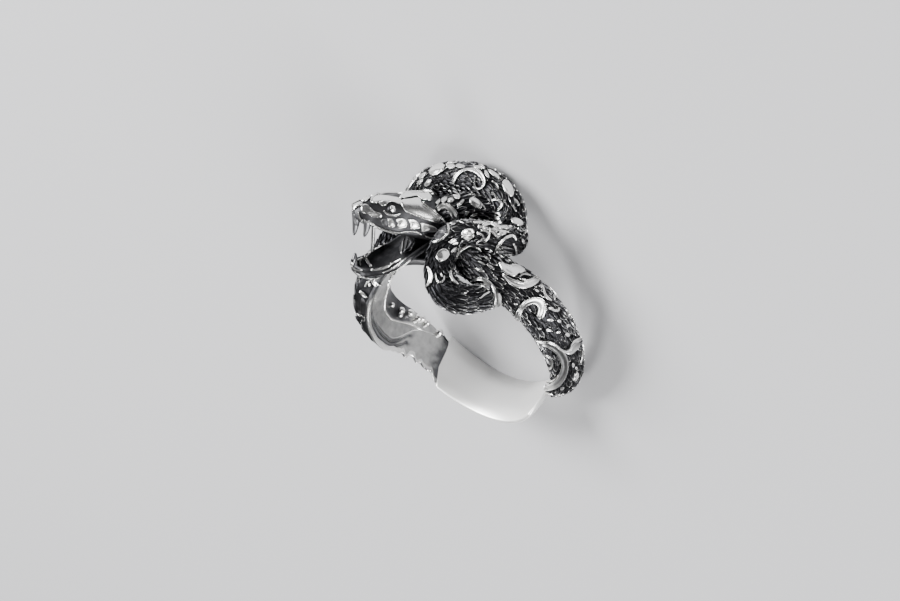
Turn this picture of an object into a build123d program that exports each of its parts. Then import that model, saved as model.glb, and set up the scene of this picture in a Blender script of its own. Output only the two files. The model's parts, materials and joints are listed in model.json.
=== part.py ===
from build123d import *
from collections import namedtuple
from math import atan2, cos, degrees, pi, radians, sin
import os

# Band, mm. The ring is drawn round the Z axis, with the knot towards +Y and the plate towards -Y.
finger_radius = 10.0
inner_wall = 1.0
inner_wall_low = -0.6
inner_wall_high = 2.3
plate_bulge = 1.2
plate_width = 6.1
plate_lift = 0.4
plate_slant = 8.5
plate_start = 138.0
plate_end = 229.0
bore_stock = 0.3
bead_radius = 0.36
bead_count = 7

# Snake body, mm
coil_radius = 1.65
knot_reach = 5.9
sections_per_spot = 2

# Head, mm, in its own frame: X forward, Y to the snake's left, Z up, origin between the jaw corners
head_place = (-0.59, 12.69, -0.22)
head_forward = (-0.643, 0.458, 0.614)
head_up = (0.105, 0.847, -0.521)
plate_relief = 0.2
eye_place = Vector(3.7, 1.65, 2.6)
eye_radius = 0.45
ridge_radius = 0.26
lip_wall = 0.4
jaw_floor = 0.5
jaw_floor_share = 0.6
fold_half_width = 1.6
fang_radius = 0.36
fang_tip_radius = 0.05
strut_place = (5.0, -1.45, -1.0)
strut_radius = 0.22
strut_height = 4.4
nasal_place = (5.75, 2.3)
nasal_half_length = 1.0
nasal_half_height = 0.42
nasal_turn = -14

# Turns that lay the finished ring on its side as it rests
rest_tilt = 13.8
rest_roll = 7.2

Spot = namedtuple("Spot", "angle lift side girth spread")
Skull = namedtuple("Skull", "x lip cheek brow crown jaw_half brow_half crown_half")
Jaw = namedtuple("Jaw", "x rim keel rim_half keel_half")
Fang = namedtuple("Fang", "x y root tip lean")
LipPlate = namedtuple("LipPlate", "x z length height turn")
Crescent = namedtuple("Crescent", "start peak finish half_width")

# Lift is the height above the finger and girth and spread the half thickness and half width, in coil radii.
# Side is a share of the knot's reach.
left_coil = [
    Spot(-134, 0.50, -0.20, 0.50, 1.15),
    Spot(-120, 0.60, -0.17, 0.75, 1.40),
    Spot(-107, 0.66, -0.02, 0.92, 1.60),
    Spot(-92, 0.70, 0.17, 1.02, 1.75),
    Spot(-78, 0.70, 0.25, 1.02, 1.65),
    Spot(-65, 0.70, 0.22, 1.00, 1.35),
    Spot(-53, 0.72, -0.05, 1.00, 1.10),
    Spot(-42, 0.85, -0.48, 1.00, 1.00),
    Spot(-30, 1.30, -0.85, 1.00, 1.00),
    Spot(-17, 2.10, -0.98, 1.00, 1.00),
    Spot(-1, 2.75, -1.00, 1.00, 1.00),
    Spot(17, 3.05, -0.98, 1.00, 1.00),
    Spot(29, 2.60, -0.80, 0.95, 0.95),
    Spot(35, 2.20, -0.50, 0.90, 0.90),
    Spot(38, 2.70, -0.24, 0.85, 0.85),
    Spot(34.5, 3.25, -0.07, 0.77, 0.77),
    Spot(27, 3.10, 0.02, 0.73, 0.73),
    Spot(18, 2.65, 0.15, 0.74, 0.74),
    Spot(15.5, 2.10, 0.42, 0.80, 0.80),
    Spot(19, 1.50, 0.78, 0.90, 0.90),
    Spot(27, 1.20, 1.00, 0.97, 0.97),
    Spot(36, 1.25, 0.95, 0.85, 0.85),
    Spot(42, 1.25, 0.72, 0.75, 0.75),
    Spot(46, 1.05, 0.48, 0.60, 0.60),
]
right_coil = [
    Spot(136, 0.35, -0.05, 0.55, 0.80),
    Spot(124, 0.55, 0.00, 0.85, 1.05),
    Spot(100, 0.85, 0.08, 1.08, 1.20),
    Spot(80, 1.18, 0.16, 1.23, 1.25),
    Spot(65, 1.40, 0.20, 1.27, 1.27),
    Spot(50, 1.45, 0.24, 1.25, 1.25),
    Spot(35, 1.30, 0.24, 1.20, 1.20),
    Spot(24, 1.25, 0.15, 1.12, 1.12),
    Spot(10, 1.15, -0.05, 1.05, 1.05),
    Spot(-6, 1.10, -0.38, 1.00, 1.00),
    Spot(-14, 1.10, -0.72, 0.97, 0.97),
    Spot(-6, 1.10, -0.98, 0.95, 0.95),
    Spot(9, 1.05, -1.00, 0.92, 0.92),
    Spot(26, 1.15, -0.90, 0.80, 0.80),
]
neck = [
    Spot(25, 0.90, -0.95, 0.60, 0.60),
    Spot(23, 1.90, -0.78, 0.84, 0.84),
    Spot(17, 2.50, -0.58, 0.82, 0.82),
    Spot(9, 2.55, -0.35, 0.82, 0.82),
    Spot(3, 2.30, -0.15, 0.90, 0.90),
]
# Hollow on the inside of the left shank
trough = [
    Spot(-38, 0.20, 0.40, 0.30, 0.45),
    Spot(-56, 0.10, 0.26, 0.60, 1.00),
    Spot(-72, 0.10, 0.20, 0.75, 1.10),
    Spot(-88, 0.10, 0.19, 0.75, 1.10),
    Spot(-101, 0.05, 0.10, 0.60, 1.00),
    Spot(-112, 0.00, 0.00, 0.30, 0.50),
]
first_bead = (-92, 0.72, -0.32)
last_bead = (-124, 0.62, -0.56)

# Raised crescents and drops as (angle, lift, side) at both ends and the middle, half width in mm
crescents = [
    Crescent((6, 3.27, -0.75), (13, 3.98, -0.91), (19, 3.76, -0.79), 0.44),
    Crescent((-7, 3.41, -0.87), (-3, 3.60, -0.92), (0, 3.77, -0.98), 0.55),
    Crescent((23, 3.81, -1.01), (26, 3.74, -0.94), (29, 3.57, -0.86), 0.55),
    Crescent((17, 3.33, -0.49), (19, 3.22, -0.49), (21, 3.08, -0.53), 0.47),
    Crescent((24, 3.22, -0.65), (27, 3.35, -0.66), (26, 2.72, -0.56), 0.34),
    Crescent((33, 3.13, -0.56), (36, 3.08, -0.53), (38, 3.06, -0.50), 0.55),
    Crescent((7, 3.07, -0.09), (11, 3.25, -0.25), (14, 2.64, -0.23), 0.42),
    Crescent((22, 3.29, 0.23), (24.5, 3.47, 0.20), (27, 3.62, 0.16), 0.55),
    Crescent((35, 3.56, 0.12), (38, 3.80, -0.04), (41, 2.90, -0.05), 0.39),
    Crescent((22, 1.97, 0.37), (25, 2.67, 0.23), (30, 2.41, 0.18), 0.42),
    Crescent((19, 2.48, 0.73), (18.5, 2.59, 0.60), (19, 2.68, 0.50), 0.52),
    Crescent((15, 2.15, 0.88), (18, 2.07, 0.99), (19, 1.79, 1.10), 0.39),
    Crescent((24, 1.85, 0.68), (27, 2.12, 0.92), (31, 2.10, 1.00), 0.31),
    Crescent((32, 1.40, 0.55), (40, 1.97, 0.54), (48, 1.55, 0.62), 0.55),
    Crescent((39, 2.55, 0.25), (48, 2.51, 0.09), (56, 2.41, 0.01), 0.55),
    Crescent((42, 2.56, 0.33), (51, 2.62, 0.34), (56, 2.50, 0.06), 0.55),
    Crescent((60, 1.41, 0.56), (60, 2.58, 0.34), (65, 2.06, 0.50), 0.60),
    Crescent((56, 2.42, 0.02), (64, 2.62, 0.12), (74, 2.30, 0.10), 0.47),
    Crescent((78, 1.40, 0.50), (83, 1.90, 0.42), (89, 1.97, 0.33), 0.42),
    Crescent((89, 2.14, 0.04), (88, 2.14, 0.20), (90, 1.94, 0.34), 0.39),
    Crescent((88, 1.95, 0.35), (99, 1.42, 0.37), (115, 0.30, 0.38), 0.52),
    Crescent((88, 0.93, 0.47), (96, 1.00, 0.44), (104, 0.28, 0.39), 0.26),
    Crescent((97, 1.88, 0.22), (107, 1.70, 0.17), (114, 1.33, 0.25), 0.26),
    Crescent((-68, 0.30, 0.63), (-76, 0.85, 0.67), (-80, 0.27, 0.69), 0.39),
    Crescent((-58, 0.80, 0.52), (-60, 0.60, 0.55), (-62, 0.24, 0.56), 0.44),
]
crescent_tip = 0.3
crescent_sections = 5

# Cranium from back to snout, mm: lip line, widest cheek, brow and crown heights, then half widths
skull = [
    Skull(-2.2, 0.6, 1.2, 2.4, 3.0, 1.5, 1.4, 0.6),
    Skull(-0.9, -0.1, 0.9, 2.7, 3.7, 2.4, 1.9, 0.8),
    Skull(0.8, 0.0, 1.0, 2.9, 3.8, 2.35, 1.9, 0.8),
    Skull(2.6, 0.3, 1.2, 2.9, 3.7, 2.15, 1.75, 0.75),
    Skull(4.4, 0.7, 1.5, 2.9, 3.6, 1.85, 1.55, 0.8),
    Skull(5.8, 1.0, 1.7, 2.7, 3.3, 1.55, 1.3, 0.7),
    Skull(6.9, 1.2, 1.8, 2.5, 2.9, 1.25, 1.0, 0.5),
    Skull(7.5, 1.5, 1.9, 2.4, 2.6, 0.8, 0.6, 0.3),
]
lower_jaw = [
    Jaw(-1.0, 0.1, -1.0, 1.9, 1.2),
    Jaw(0.6, -0.4, -1.5, 2.2, 1.4),
    Jaw(2.2, -1.4, -2.6, 2.1, 1.3),
    Jaw(4.0, -2.5, -3.8, 1.85, 1.1),
    Jaw(5.6, -3.2, -4.5, 1.5, 0.9),
    Jaw(6.7, -3.4, -4.5, 1.1, 0.6),
    Jaw(7.3, -3.3, -4.1, 0.5, 0.25),
]
fangs = [
    Fang(6.3, 1.15, 1.4, -0.5, 0.25),
    Fang(6.9, -1.1, 1.6, -1.0, 0.25),
    Fang(7.2, 0.45, 1.7, 0.3, 0.15),
    Fang(7.2, -0.45, 1.7, 0.3, 0.15),
    Fang(6.7, -0.55, -3.8, -2.1, 0.30),
    Fang(6.7, 0.55, -3.8, -2.5, 0.30),
]
lip_plates = [
    LipPlate(4.45, 1.15, 0.75, 0.75, -6),
    LipPlate(3.55, 1.05, 0.85, 0.95, -5),
    LipPlate(2.45, 0.95, 0.95, 1.00, -3),
    LipPlate(1.15, 0.85, 1.35, 1.00, 0),
]
# Side outlines on the head as (x, z), then ridges as (x, y, z)
cheek_outline = [(3.4, 3.2), (2.0, 3.45), (-0.6, 3.5), (-1.9, 1.3), (-1.4, 0.95), (0.6, 1.65), (2.1, 2.3)]
mouth_fold = [(-1.6, -0.7), (-1.6, 1.2), (3.2, 1.0), (2.0, -0.1), (1.8, -1.2), (2.7, -2.3), (0.2, -1.2)]
brow_ridge = [(5.9, 1.0, 2.75), (4.8, 1.5, 3.05), (3.6, 1.75, 3.05), (2.3, 1.85, 2.8)]
jaw_corner = [(-0.7, 1.85, 3.2), (-2.2, 2.05, 1.6), (-1.9, 2.25, 0.3), (-0.9, 2.35, -0.5)]


def at(angle, radius, height):
    """Point at an angle from the knot (+Y) towards the right shank (+X)."""
    return (radius * sin(radians(angle)), radius * cos(radians(angle)), height)


def strand(route):
    """Loft the snake's body through a route of spots, its girth changing evenly between them."""
    points = [spot_at(s.angle, s.lift, s.side) for s in route]
    with BuildLine():
        centreline = Spline(*points)
    marks = [centreline.param_at_point(point) for point in points]
    side = Vector(0, 0, 1)
    with BuildPart() as body:
        for step in range(sections_per_spot * (len(route) - 1) + 1):
            spot, part_way = divmod(step, sections_per_spot)
            share = part_way / sections_per_spot
            following = min(spot + 1, len(route) - 1)
            mark = marks[spot] * (1 - share) + marks[following] * share
            girth = route[spot].girth * (1 - share) + route[following].girth * share
            spread = route[spot].spread * (1 - share) + route[following].spread * share
            along = centreline.tangent_at(mark)
            side = (side - along * side.dot(along)).normalized()
            with BuildSketch(Plane(origin=centreline.position_at(mark), x_dir=side, z_dir=along)):
                Ellipse(spread * coil_radius, girth * coil_radius)
        loft()
    return body.part


def spot_at(angle, lift, side):
    """Point given by its angle, its lift in coil radii and its side in shares of the knot's reach."""
    return at(angle, finger_radius + lift * coil_radius, side * knot_reach)


def raised(crescent):
    """Loft a crescent that swells from its tips to its middle."""
    with BuildLine():
        arc = ThreePointArc(spot_at(*crescent.start), spot_at(*crescent.peak), spot_at(*crescent.finish))
    with BuildPart() as body:
        for step in range(crescent_sections):
            share = step / (crescent_sections - 1)
            swell = crescent_tip + (1 - crescent_tip) * sin(pi * share)
            with BuildSketch(Plane(origin=arc.position_at(share), z_dir=arc.tangent_at(share))):
                Circle(crescent.half_width * swell)
        loft()
    return body.part


left_body = strand(left_coil)
right_body = strand(right_coil)
neck_body = strand(neck)

# Plain plate: flat to the finger, bulged outside, slanted across the hole and narrowed at its right end
with BuildPart() as plate:
    with BuildSketch(Plane.XZ):
        with BuildLine():
            low_corner = (finger_radius - bore_stock, -plate_width / 2)
            high_corner = (finger_radius - bore_stock, plate_width / 2)
            Line(high_corner, low_corner)
            ThreePointArc(low_corner, (finger_radius + plate_bulge, 0), high_corner)
        make_face()
    revolve(axis=Axis.Z, revolution_arc=plate_end - plate_start)
slanted_plate = plate.part.rotate(Axis.Z, 90 - plate_end).rotate(Axis.Y, -plate_slant).moved(Pos(0, 0, plate_lift))


def cranium(grown):
    """Loft the cranium through its sections, grown outwards by a relief height."""
    with BuildPart() as bone:
        for s in skull:
            with BuildSketch(Plane(origin=(s.x, 0, 0), x_dir=(0, 1, 0), z_dir=(1, 0, 0))):
                Polygon(
                    (-s.jaw_half - grown, s.lip),
                    (s.jaw_half + grown, s.lip),
                    (s.jaw_half + grown, s.cheek),
                    (s.brow_half + grown, s.brow + grown),
                    (s.crown_half, s.crown + grown),
                    (-s.crown_half, s.crown + grown),
                    (-s.brow_half - grown, s.brow + grown),
                    (-s.jaw_half - grown, s.cheek),
                    align=None,
                )
        loft(ruled=True)
    return bone.part


def jaw_section(x, rim_half, keel_half, rim, keel):
    """Six-sided section across the lower jaw."""
    with BuildSketch(Plane(origin=(x, 0, 0), x_dir=(0, 1, 0), z_dir=(1, 0, 0))) as section:
        Polygon(
            (-rim_half, rim),
            (rim_half, rim),
            (rim_half, (rim + keel) / 2),
            (keel_half, keel),
            (-keel_half, keel),
            (-rim_half, (rim + keel) / 2),
            align=None,
        )
    return section.sketch


# Plates of the face: a grown cranium seen through their side outlines
with BuildPart() as face_plates:
    add(cranium(plate_relief))
    with BuildSketch(Plane.XZ):
        Polygon(*cheek_outline, align=None)
        for plate_spot in lip_plates:
            with Locations((plate_spot.x, plate_spot.z)):
                Rectangle(plate_spot.length, plate_spot.height, rotation=plate_spot.turn)
        with Locations(nasal_place):
            Ellipse(nasal_half_length, nasal_half_height, rotation=nasal_turn)
    extrude(amount=2 * lower_jaw[1].rim_half, both=True, mode=Mode.INTERSECT)

with BuildPart() as head:
    for j in lower_jaw:
        add(jaw_section(j.x, j.rim_half, j.keel_half, j.rim, j.keel))
    loft(ruled=True)
    for j in lower_jaw[1:-1]:
        floor = j.keel + jaw_floor
        add(jaw_section(j.x, j.rim_half - lip_wall, j.keel_half * jaw_floor_share, 2 * j.rim - floor, floor))
    loft(ruled=True, mode=Mode.SUBTRACT)
    add(cranium(0))
    add(face_plates.part)
    with BuildSketch(Plane.XZ):
        Polygon(*mouth_fold, align=None)
    extrude(amount=fold_half_width, both=True)
    for f in fangs:
        turn = 180 if f.tip < f.root else 0
        with Locations(Location((f.x, f.y, (f.root + f.tip) / 2), (turn, f.lean, 0))):
            Cone(fang_radius, fang_tip_radius, abs(f.tip - f.root))
    for flank in (1, -1):
        with Locations((eye_place.X, flank * eye_place.Y, eye_place.Z)):
            Sphere(eye_radius)
        for ridge in (brow_ridge, jaw_corner):
            points = [(x, flank * y, z) for x, y, z in ridge]
            with BuildLine() as ridge_line:
                crest = Spline(*points)
            with BuildSketch(Plane(origin=points[0], z_dir=crest.tangent_at(0))):
                Circle(ridge_radius)
            sweep(path=ridge_line.line)
    with Locations(Location(strut_place, (0, 0, 0))):
        Cylinder(strut_radius, strut_height)

snake_head = head.part.moved(Plane(origin=head_place, x_dir=head_forward, z_dir=head_up).location)

with BuildPart() as snake_ring:
    with BuildSketch(Plane.XY.offset(inner_wall_low)):
        Circle(finger_radius + inner_wall)
        Circle(finger_radius, mode=Mode.SUBTRACT)
    extrude(amount=inner_wall_high - inner_wall_low)
    add(slanted_plate)
    add(left_body)
    add(right_body)
    add(neck_body)
    add(snake_head)
    for crescent in crescents:
        add(raised(crescent))
    for bead in range(bead_count):
        share = bead / (bead_count - 1)
        with Locations(spot_at(*[a * (1 - share) + b * share for a, b in zip(first_bead, last_bead)])):
            Sphere(bead_radius)
    with BuildSketch(Plane.XY.offset(-2 * finger_radius)):
        Circle(finger_radius)
    extrude(amount=4 * finger_radius, mode=Mode.SUBTRACT)
    add(strand(trough), mode=Mode.SUBTRACT)

rested = snake_ring.part.rotate(Axis.X, rest_tilt).rotate(Axis.Y, rest_roll)
floor_box = rested.bounding_box()
rested = rested.moved(Pos(-floor_box.center().X, -floor_box.center().Y, -floor_box.min.Z))
rested.label = "snake_ring"

os.makedirs("parts", exist_ok=True)
export_step(rested, "parts/snake_ring.step")
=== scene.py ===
import json
from collections import namedtuple
from math import cos, pi, radians, sin

import bpy
import numpy as np
from mathutils import Matrix, Vector
from mathutils.bvhtree import BVHTree
from mathutils.kdtree import KDTree


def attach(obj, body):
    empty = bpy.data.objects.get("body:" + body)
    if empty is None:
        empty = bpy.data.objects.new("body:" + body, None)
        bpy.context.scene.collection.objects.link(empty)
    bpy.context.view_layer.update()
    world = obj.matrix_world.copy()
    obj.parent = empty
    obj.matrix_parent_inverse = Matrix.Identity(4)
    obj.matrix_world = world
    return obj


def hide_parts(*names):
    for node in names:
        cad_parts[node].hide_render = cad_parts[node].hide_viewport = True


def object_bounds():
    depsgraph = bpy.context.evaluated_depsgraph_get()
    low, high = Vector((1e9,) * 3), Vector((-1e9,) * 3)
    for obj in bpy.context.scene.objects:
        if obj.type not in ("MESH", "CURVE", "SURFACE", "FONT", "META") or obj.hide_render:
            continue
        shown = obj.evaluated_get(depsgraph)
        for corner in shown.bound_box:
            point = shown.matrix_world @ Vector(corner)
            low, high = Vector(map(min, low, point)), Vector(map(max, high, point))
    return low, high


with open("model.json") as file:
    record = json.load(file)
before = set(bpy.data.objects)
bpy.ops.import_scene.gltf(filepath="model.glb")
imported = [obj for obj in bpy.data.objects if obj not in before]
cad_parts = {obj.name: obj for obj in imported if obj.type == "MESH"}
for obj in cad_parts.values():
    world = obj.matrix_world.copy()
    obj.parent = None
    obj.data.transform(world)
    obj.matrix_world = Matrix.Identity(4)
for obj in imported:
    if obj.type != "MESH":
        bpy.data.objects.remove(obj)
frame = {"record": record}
cad_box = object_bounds()

MM = 0.001

# Ring in mm and degrees, drawn round its own Z axis with the knot towards +Y, as in the part's source
FINGER_RADIUS = 10.0
COIL_RADIUS = 1.65
KNOT_REACH = 5.9
REST_ROLL = 7.2
# Height of the finger hole's mount on that axis
HOLE_MIDDLE = 0.85

# The body's spots. Lift is the height above the finger, and girth and spread are the half thickness and half
# width, all in coil radii. Side is a share of the knot's reach.
Spot = namedtuple("Spot", "angle lift side girth spread")
LEFT_COIL = [
    Spot(-141, 0.40, -0.03, 0.40, 1.50),
    Spot(-131, 0.48, -0.12, 0.55, 1.38),
    Spot(-120, 0.60, -0.17, 0.75, 1.40),
    Spot(-107, 0.66, -0.02, 0.92, 1.60),
    Spot(-92, 0.70, 0.17, 1.02, 1.75),
    Spot(-78, 0.70, 0.25, 1.02, 1.65),
    Spot(-65, 0.70, 0.22, 1.00, 1.35),
    Spot(-53, 0.72, -0.05, 1.00, 1.10),
    Spot(-42, 0.85, -0.48, 1.00, 1.00),
    Spot(-30, 1.30, -0.85, 1.00, 1.00),
    Spot(-17, 2.10, -0.98, 1.00, 1.00),
    Spot(-1, 2.75, -1.00, 1.00, 1.00),
    Spot(17, 3.05, -0.98, 1.00, 1.00),
    Spot(29, 2.60, -0.80, 0.95, 0.95),
    Spot(35, 2.20, -0.50, 0.90, 0.90),
    Spot(38, 2.70, -0.24, 0.85, 0.85),
    Spot(34.5, 3.25, -0.07, 0.77, 0.77),
    Spot(27, 3.10, 0.02, 0.73, 0.73),
    Spot(18, 2.65, 0.15, 0.74, 0.74),
    Spot(15.5, 2.10, 0.42, 0.80, 0.80),
    Spot(19, 1.50, 0.78, 0.90, 0.90),
    Spot(27, 1.20, 1.00, 0.97, 0.97),
    Spot(36, 1.25, 0.95, 0.85, 0.85),
    Spot(42, 1.25, 0.72, 0.75, 0.75),
    Spot(46, 1.05, 0.48, 0.60, 0.60),
]
RIGHT_COIL = [
    Spot(136, 0.35, -0.05, 0.55, 0.80),
    Spot(124, 0.55, 0.00, 0.85, 1.05),
    Spot(100, 0.85, 0.08, 1.08, 1.20),
    Spot(80, 1.18, 0.16, 1.23, 1.25),
    Spot(65, 1.40, 0.20, 1.27, 1.27),
    Spot(50, 1.45, 0.24, 1.25, 1.25),
    Spot(35, 1.30, 0.24, 1.20, 1.20),
    Spot(24, 1.25, 0.15, 1.12, 1.12),
    Spot(10, 1.15, -0.05, 1.05, 1.05),
    Spot(-6, 1.10, -0.38, 1.00, 1.00),
    Spot(-14, 1.10, -0.72, 0.97, 0.97),
    Spot(-6, 1.10, -0.98, 0.95, 0.95),
    Spot(9, 1.05, -1.00, 0.92, 0.92),
    Spot(26, 1.15, -0.90, 0.80, 0.80),
]
NECK = [
    Spot(25, 0.90, -0.95, 0.60, 0.60),
    Spot(23, 1.90, -0.78, 0.84, 0.84),
    Spot(17, 2.50, -0.58, 0.82, 0.82),
    Spot(9, 2.55, -0.35, 0.82, 0.82),
    Spot(3, 2.30, -0.15, 0.90, 0.90),
]


# Resting place

def unit(vectors):
    """Vectors scaled to length 1."""
    return vectors / np.linalg.norm(vectors, axis=-1, keepdims=True)


# The finger hole's mount gives the ring's axis and a point on it
hole = next(m for m in frame["record"]["mounts"] if m["name"] == "finger_hole")
axis_z = unit(np.array(hole["axis"]))
axis_x = np.array((cos(radians(REST_ROLL)), 0.0, -sin(radians(REST_ROLL))))
axis_x = unit(axis_x - axis_z * axis_x.dot(axis_z))
REST = np.array([axis_x, np.cross(axis_z, axis_x), axis_z]).T
ORIGIN = np.array(hole["pos_m"]) - axis_z * HOLE_MIDDLE * MM


def to_frame(points):
    """The ring's own coordinates in mm to the resting frame in metres."""
    return np.asarray(points) @ REST.T * MM + ORIGIN


def spot_at(angle, lift, side):
    """Point in the ring's own frame, mm."""
    radius = FINGER_RADIUS + lift * COIL_RADIUS
    return np.array((radius * sin(radians(angle)), radius * cos(radians(angle)), side * KNOT_REACH))


# Camera in the ring's own frame, lengths in mm, and where it aims beside the ring's origin
IMAGE_WIDTH = 900
IMAGE_MIDDLE = np.array((450.0, 300.5))
SENSOR_WIDTH = 36.0
PHOTO_FOCAL = 125.4
CAMERA_DISTANCE = 320.0
VIEW = np.array((0.607, 0.586, 0.537))
IMAGE_UP = np.array((-0.116, 0.734, -0.669))
AIM_RIGHT = -2.245
AIM_DOWN = -2.449

view = unit(VIEW)
picture_up = unit(IMAGE_UP - view * IMAGE_UP.dot(view))
picture_right = np.cross(picture_up, view)
target = picture_right * AIM_RIGHT - picture_up * AIM_DOWN
station = target + view * CAMERA_DISTANCE
# Size of a picture point at the ring, mm
PIXEL = CAMERA_DISTANCE * SENSOR_WIDTH / (PHOTO_FOCAL * IMAGE_WIDTH)


# Meshes. A part is its points, a polish value at each point, and its faces. The polish values hold the
# oxidised and polished finish, and in places painted shade and painted highlights too.

# Pieces are held this far inside the solid's box, m
BOX_MARGIN = 0.00002
BOX_LOW = np.array(cad_box[0]) + BOX_MARGIN
BOX_HIGH = np.array(cad_box[1]) - BOX_MARGIN
# Curves space their knots by the distance between their points, raised to this power and kept above zero
KNOT_POWER = 0.7
KNOT_GAP = 1e-9


def mesh_piece(name, part, material, smooth=True):
    """Mesh object from a part in the ring's own frame."""
    points, polish, faces = part
    data = bpy.data.meshes.new(name)
    placed = np.clip(to_frame(points), BOX_LOW, BOX_HIGH)
    data.from_pydata(placed.tolist(), [], faces)
    data.update()
    # The polish attribute carries the finish and, in places, painted shade and painted highlights
    polish_and_shade = data.attributes.new("polish", "FLOAT", "POINT")
    polish_and_shade.data.foreach_set("value", np.asarray(polish, dtype=np.float32))
    data.polygons.foreach_set("use_smooth", [smooth] * len(data.polygons))
    piece = bpy.data.objects.new(name, data)
    bpy.context.scene.collection.objects.link(piece)
    data.materials.append(material)
    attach(piece, "root")
    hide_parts("snake_ring")


def grid_faces(rows, columns, closed=True, capped=True):
    """Quads over rows of points, each a closed loop or an open line; capped, both ends get one face."""
    wrap = columns if closed else columns - 1
    row, column = np.meshgrid(np.arange(rows - 1), np.arange(wrap), indexing="ij")
    here, beside = row * columns + column, row * columns + (column + 1) % columns
    faces = np.stack([here, beside, beside + columns, here + columns], -1).reshape(-1, 4).tolist()
    if capped:
        faces.append(list(range(columns))[::-1])
        faces.append([(rows - 1) * columns + j for j in range(columns)])
    return faces


def merged(point_lists, face_lists):
    """Points and faces of several meshes as one."""
    faces, base = [], 0
    for points, own_faces in zip(point_lists, face_lists):
        faces += [[base + i for i in face] for face in own_faces]
        base += len(points)
    return np.vstack(point_lists), faces


def join(parts):
    """Several parts as one."""
    point_lists, polish_lists, face_lists = zip(*parts)
    points, faces = merged(point_lists, face_lists)
    return points, np.concatenate(polish_lists), faces


def point_tree(points):
    """Search tree over points."""
    tree = KDTree(len(points))
    for i, point in enumerate(points):
        tree.insert(Vector(point), i)
    tree.balance()
    return tree


def distance_run(points):
    """Distance run along a line of points, from 0."""
    return np.concatenate([[0], np.cumsum(np.linalg.norm(np.diff(points, axis=0), axis=1))])


def natural_spline(knots, values, where):
    """Cubic spline with free ends through rows of values."""
    h = np.diff(knots)
    slope = np.diff(values, axis=0) / h[:, None]
    size = len(knots)
    system = np.eye(size)
    right = np.zeros_like(values)
    for i in range(1, size - 1):
        system[i, i - 1 : i + 2] = h[i - 1], 2 * (h[i - 1] + h[i]), h[i]
        right[i] = 6 * (slope[i] - slope[i - 1])
    bend = np.linalg.solve(system, right)
    i = np.clip(np.searchsorted(knots, where) - 1, 0, size - 2)
    a = ((knots[i + 1] - where) / h[i])[:, None]
    b = 1 - a
    span = (h[i] ** 2 / 6)[:, None]
    return a * values[i] + b * values[i + 1] + ((a**3 - a) * bend[i] + (b**3 - b) * bend[i + 1]) * span


def curve(points, count, closed=False):
    """Smooth curve through given points, evenly spaced in its parameter."""
    points = np.array(points, dtype=float)
    if closed:
        points = np.vstack([points[-2:], points, points[:3]])
    steps = np.linalg.norm(np.diff(points, axis=0), axis=1) ** KNOT_POWER
    knots = np.concatenate([[0], np.cumsum(steps + KNOT_GAP)])
    first, last = (knots[2], knots[-3]) if closed else (knots[0], knots[-1])
    return natural_spline(knots, points, np.linspace(first, last, count, endpoint=not closed))


# Raised marks: lines, half widths and outlines in picture points, rise in mm, shine as a share of polish.
# Shine is partly the mark's own polish and partly painted shade: a low shine darkens a mark to stand for dark
# surroundings in its reflection.
Stroke = namedtuple("Stroke", "line widths rise shine")
Plate = namedtuple("Plate", "outline rise shine")
# Sections of a mark: place across it or out from its middle, height and polish, all as shares
Section = namedtuple("Section", "place level shine")
STROKE_SECTION = [
    Section(-1.0, -0.7, 0.0),
    Section(-1.0, 0.45, 0.5),
    Section(-0.9, 0.9, 1.0),
    Section(-0.72, 1.0, 1.0),
    Section(-0.4, 0.8, 0.8),
    Section(0.0, 0.74, 0.72),
    Section(0.4, 0.8, 0.8),
    Section(0.72, 1.0, 1.0),
    Section(0.9, 0.9, 1.0),
    Section(1.0, 0.45, 0.5),
    Section(1.0, -0.7, 0.0),
]
PLATE_SECTION = [
    Section(0.03, 1.0, 0.95),
    Section(0.3, 0.97, 0.95),
    Section(0.55, 0.9, 0.9),
    Section(0.72, 0.86, 0.88),
    Section(0.84, 0.92, 1.0),
    Section(0.93, 0.9, 1.0),
    Section(0.98, 0.62, 0.8),
    Section(1.0, 0.2, 0.3),
    Section(1.0, -0.7, 0.0),
]
# Step along a stroke in picture points, the least number of steps, and points round a plate
STROKE_STEP = 0.8
STROKE_LEAST = 8
PLATE_POINTS = 36
# A stroke narrows to its ends over this many of its half widths, to about these shares of width and height
ROUNDED_END = 1.1
END_WIDTH = 0.04
END_HEIGHT = 0.35
# A mark doesn't jump to a surface this much nearer or farther, mm. On a slanted surface it spreads at most
# this many times as wide as drawn, and its points this close to its middle aren't moved.
DEPTH_JUMP = 1.3
STRETCH = 2.5
TOUCHING = 0.02
# Share of the view's direction in the direction that marks rise
CAMERA_LEAN = 0.25
# Depths searched for an edge, before and behind the ring's middle, mm
EDGE_SEARCH = 16
EDGE_STEP = 0.4


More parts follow.
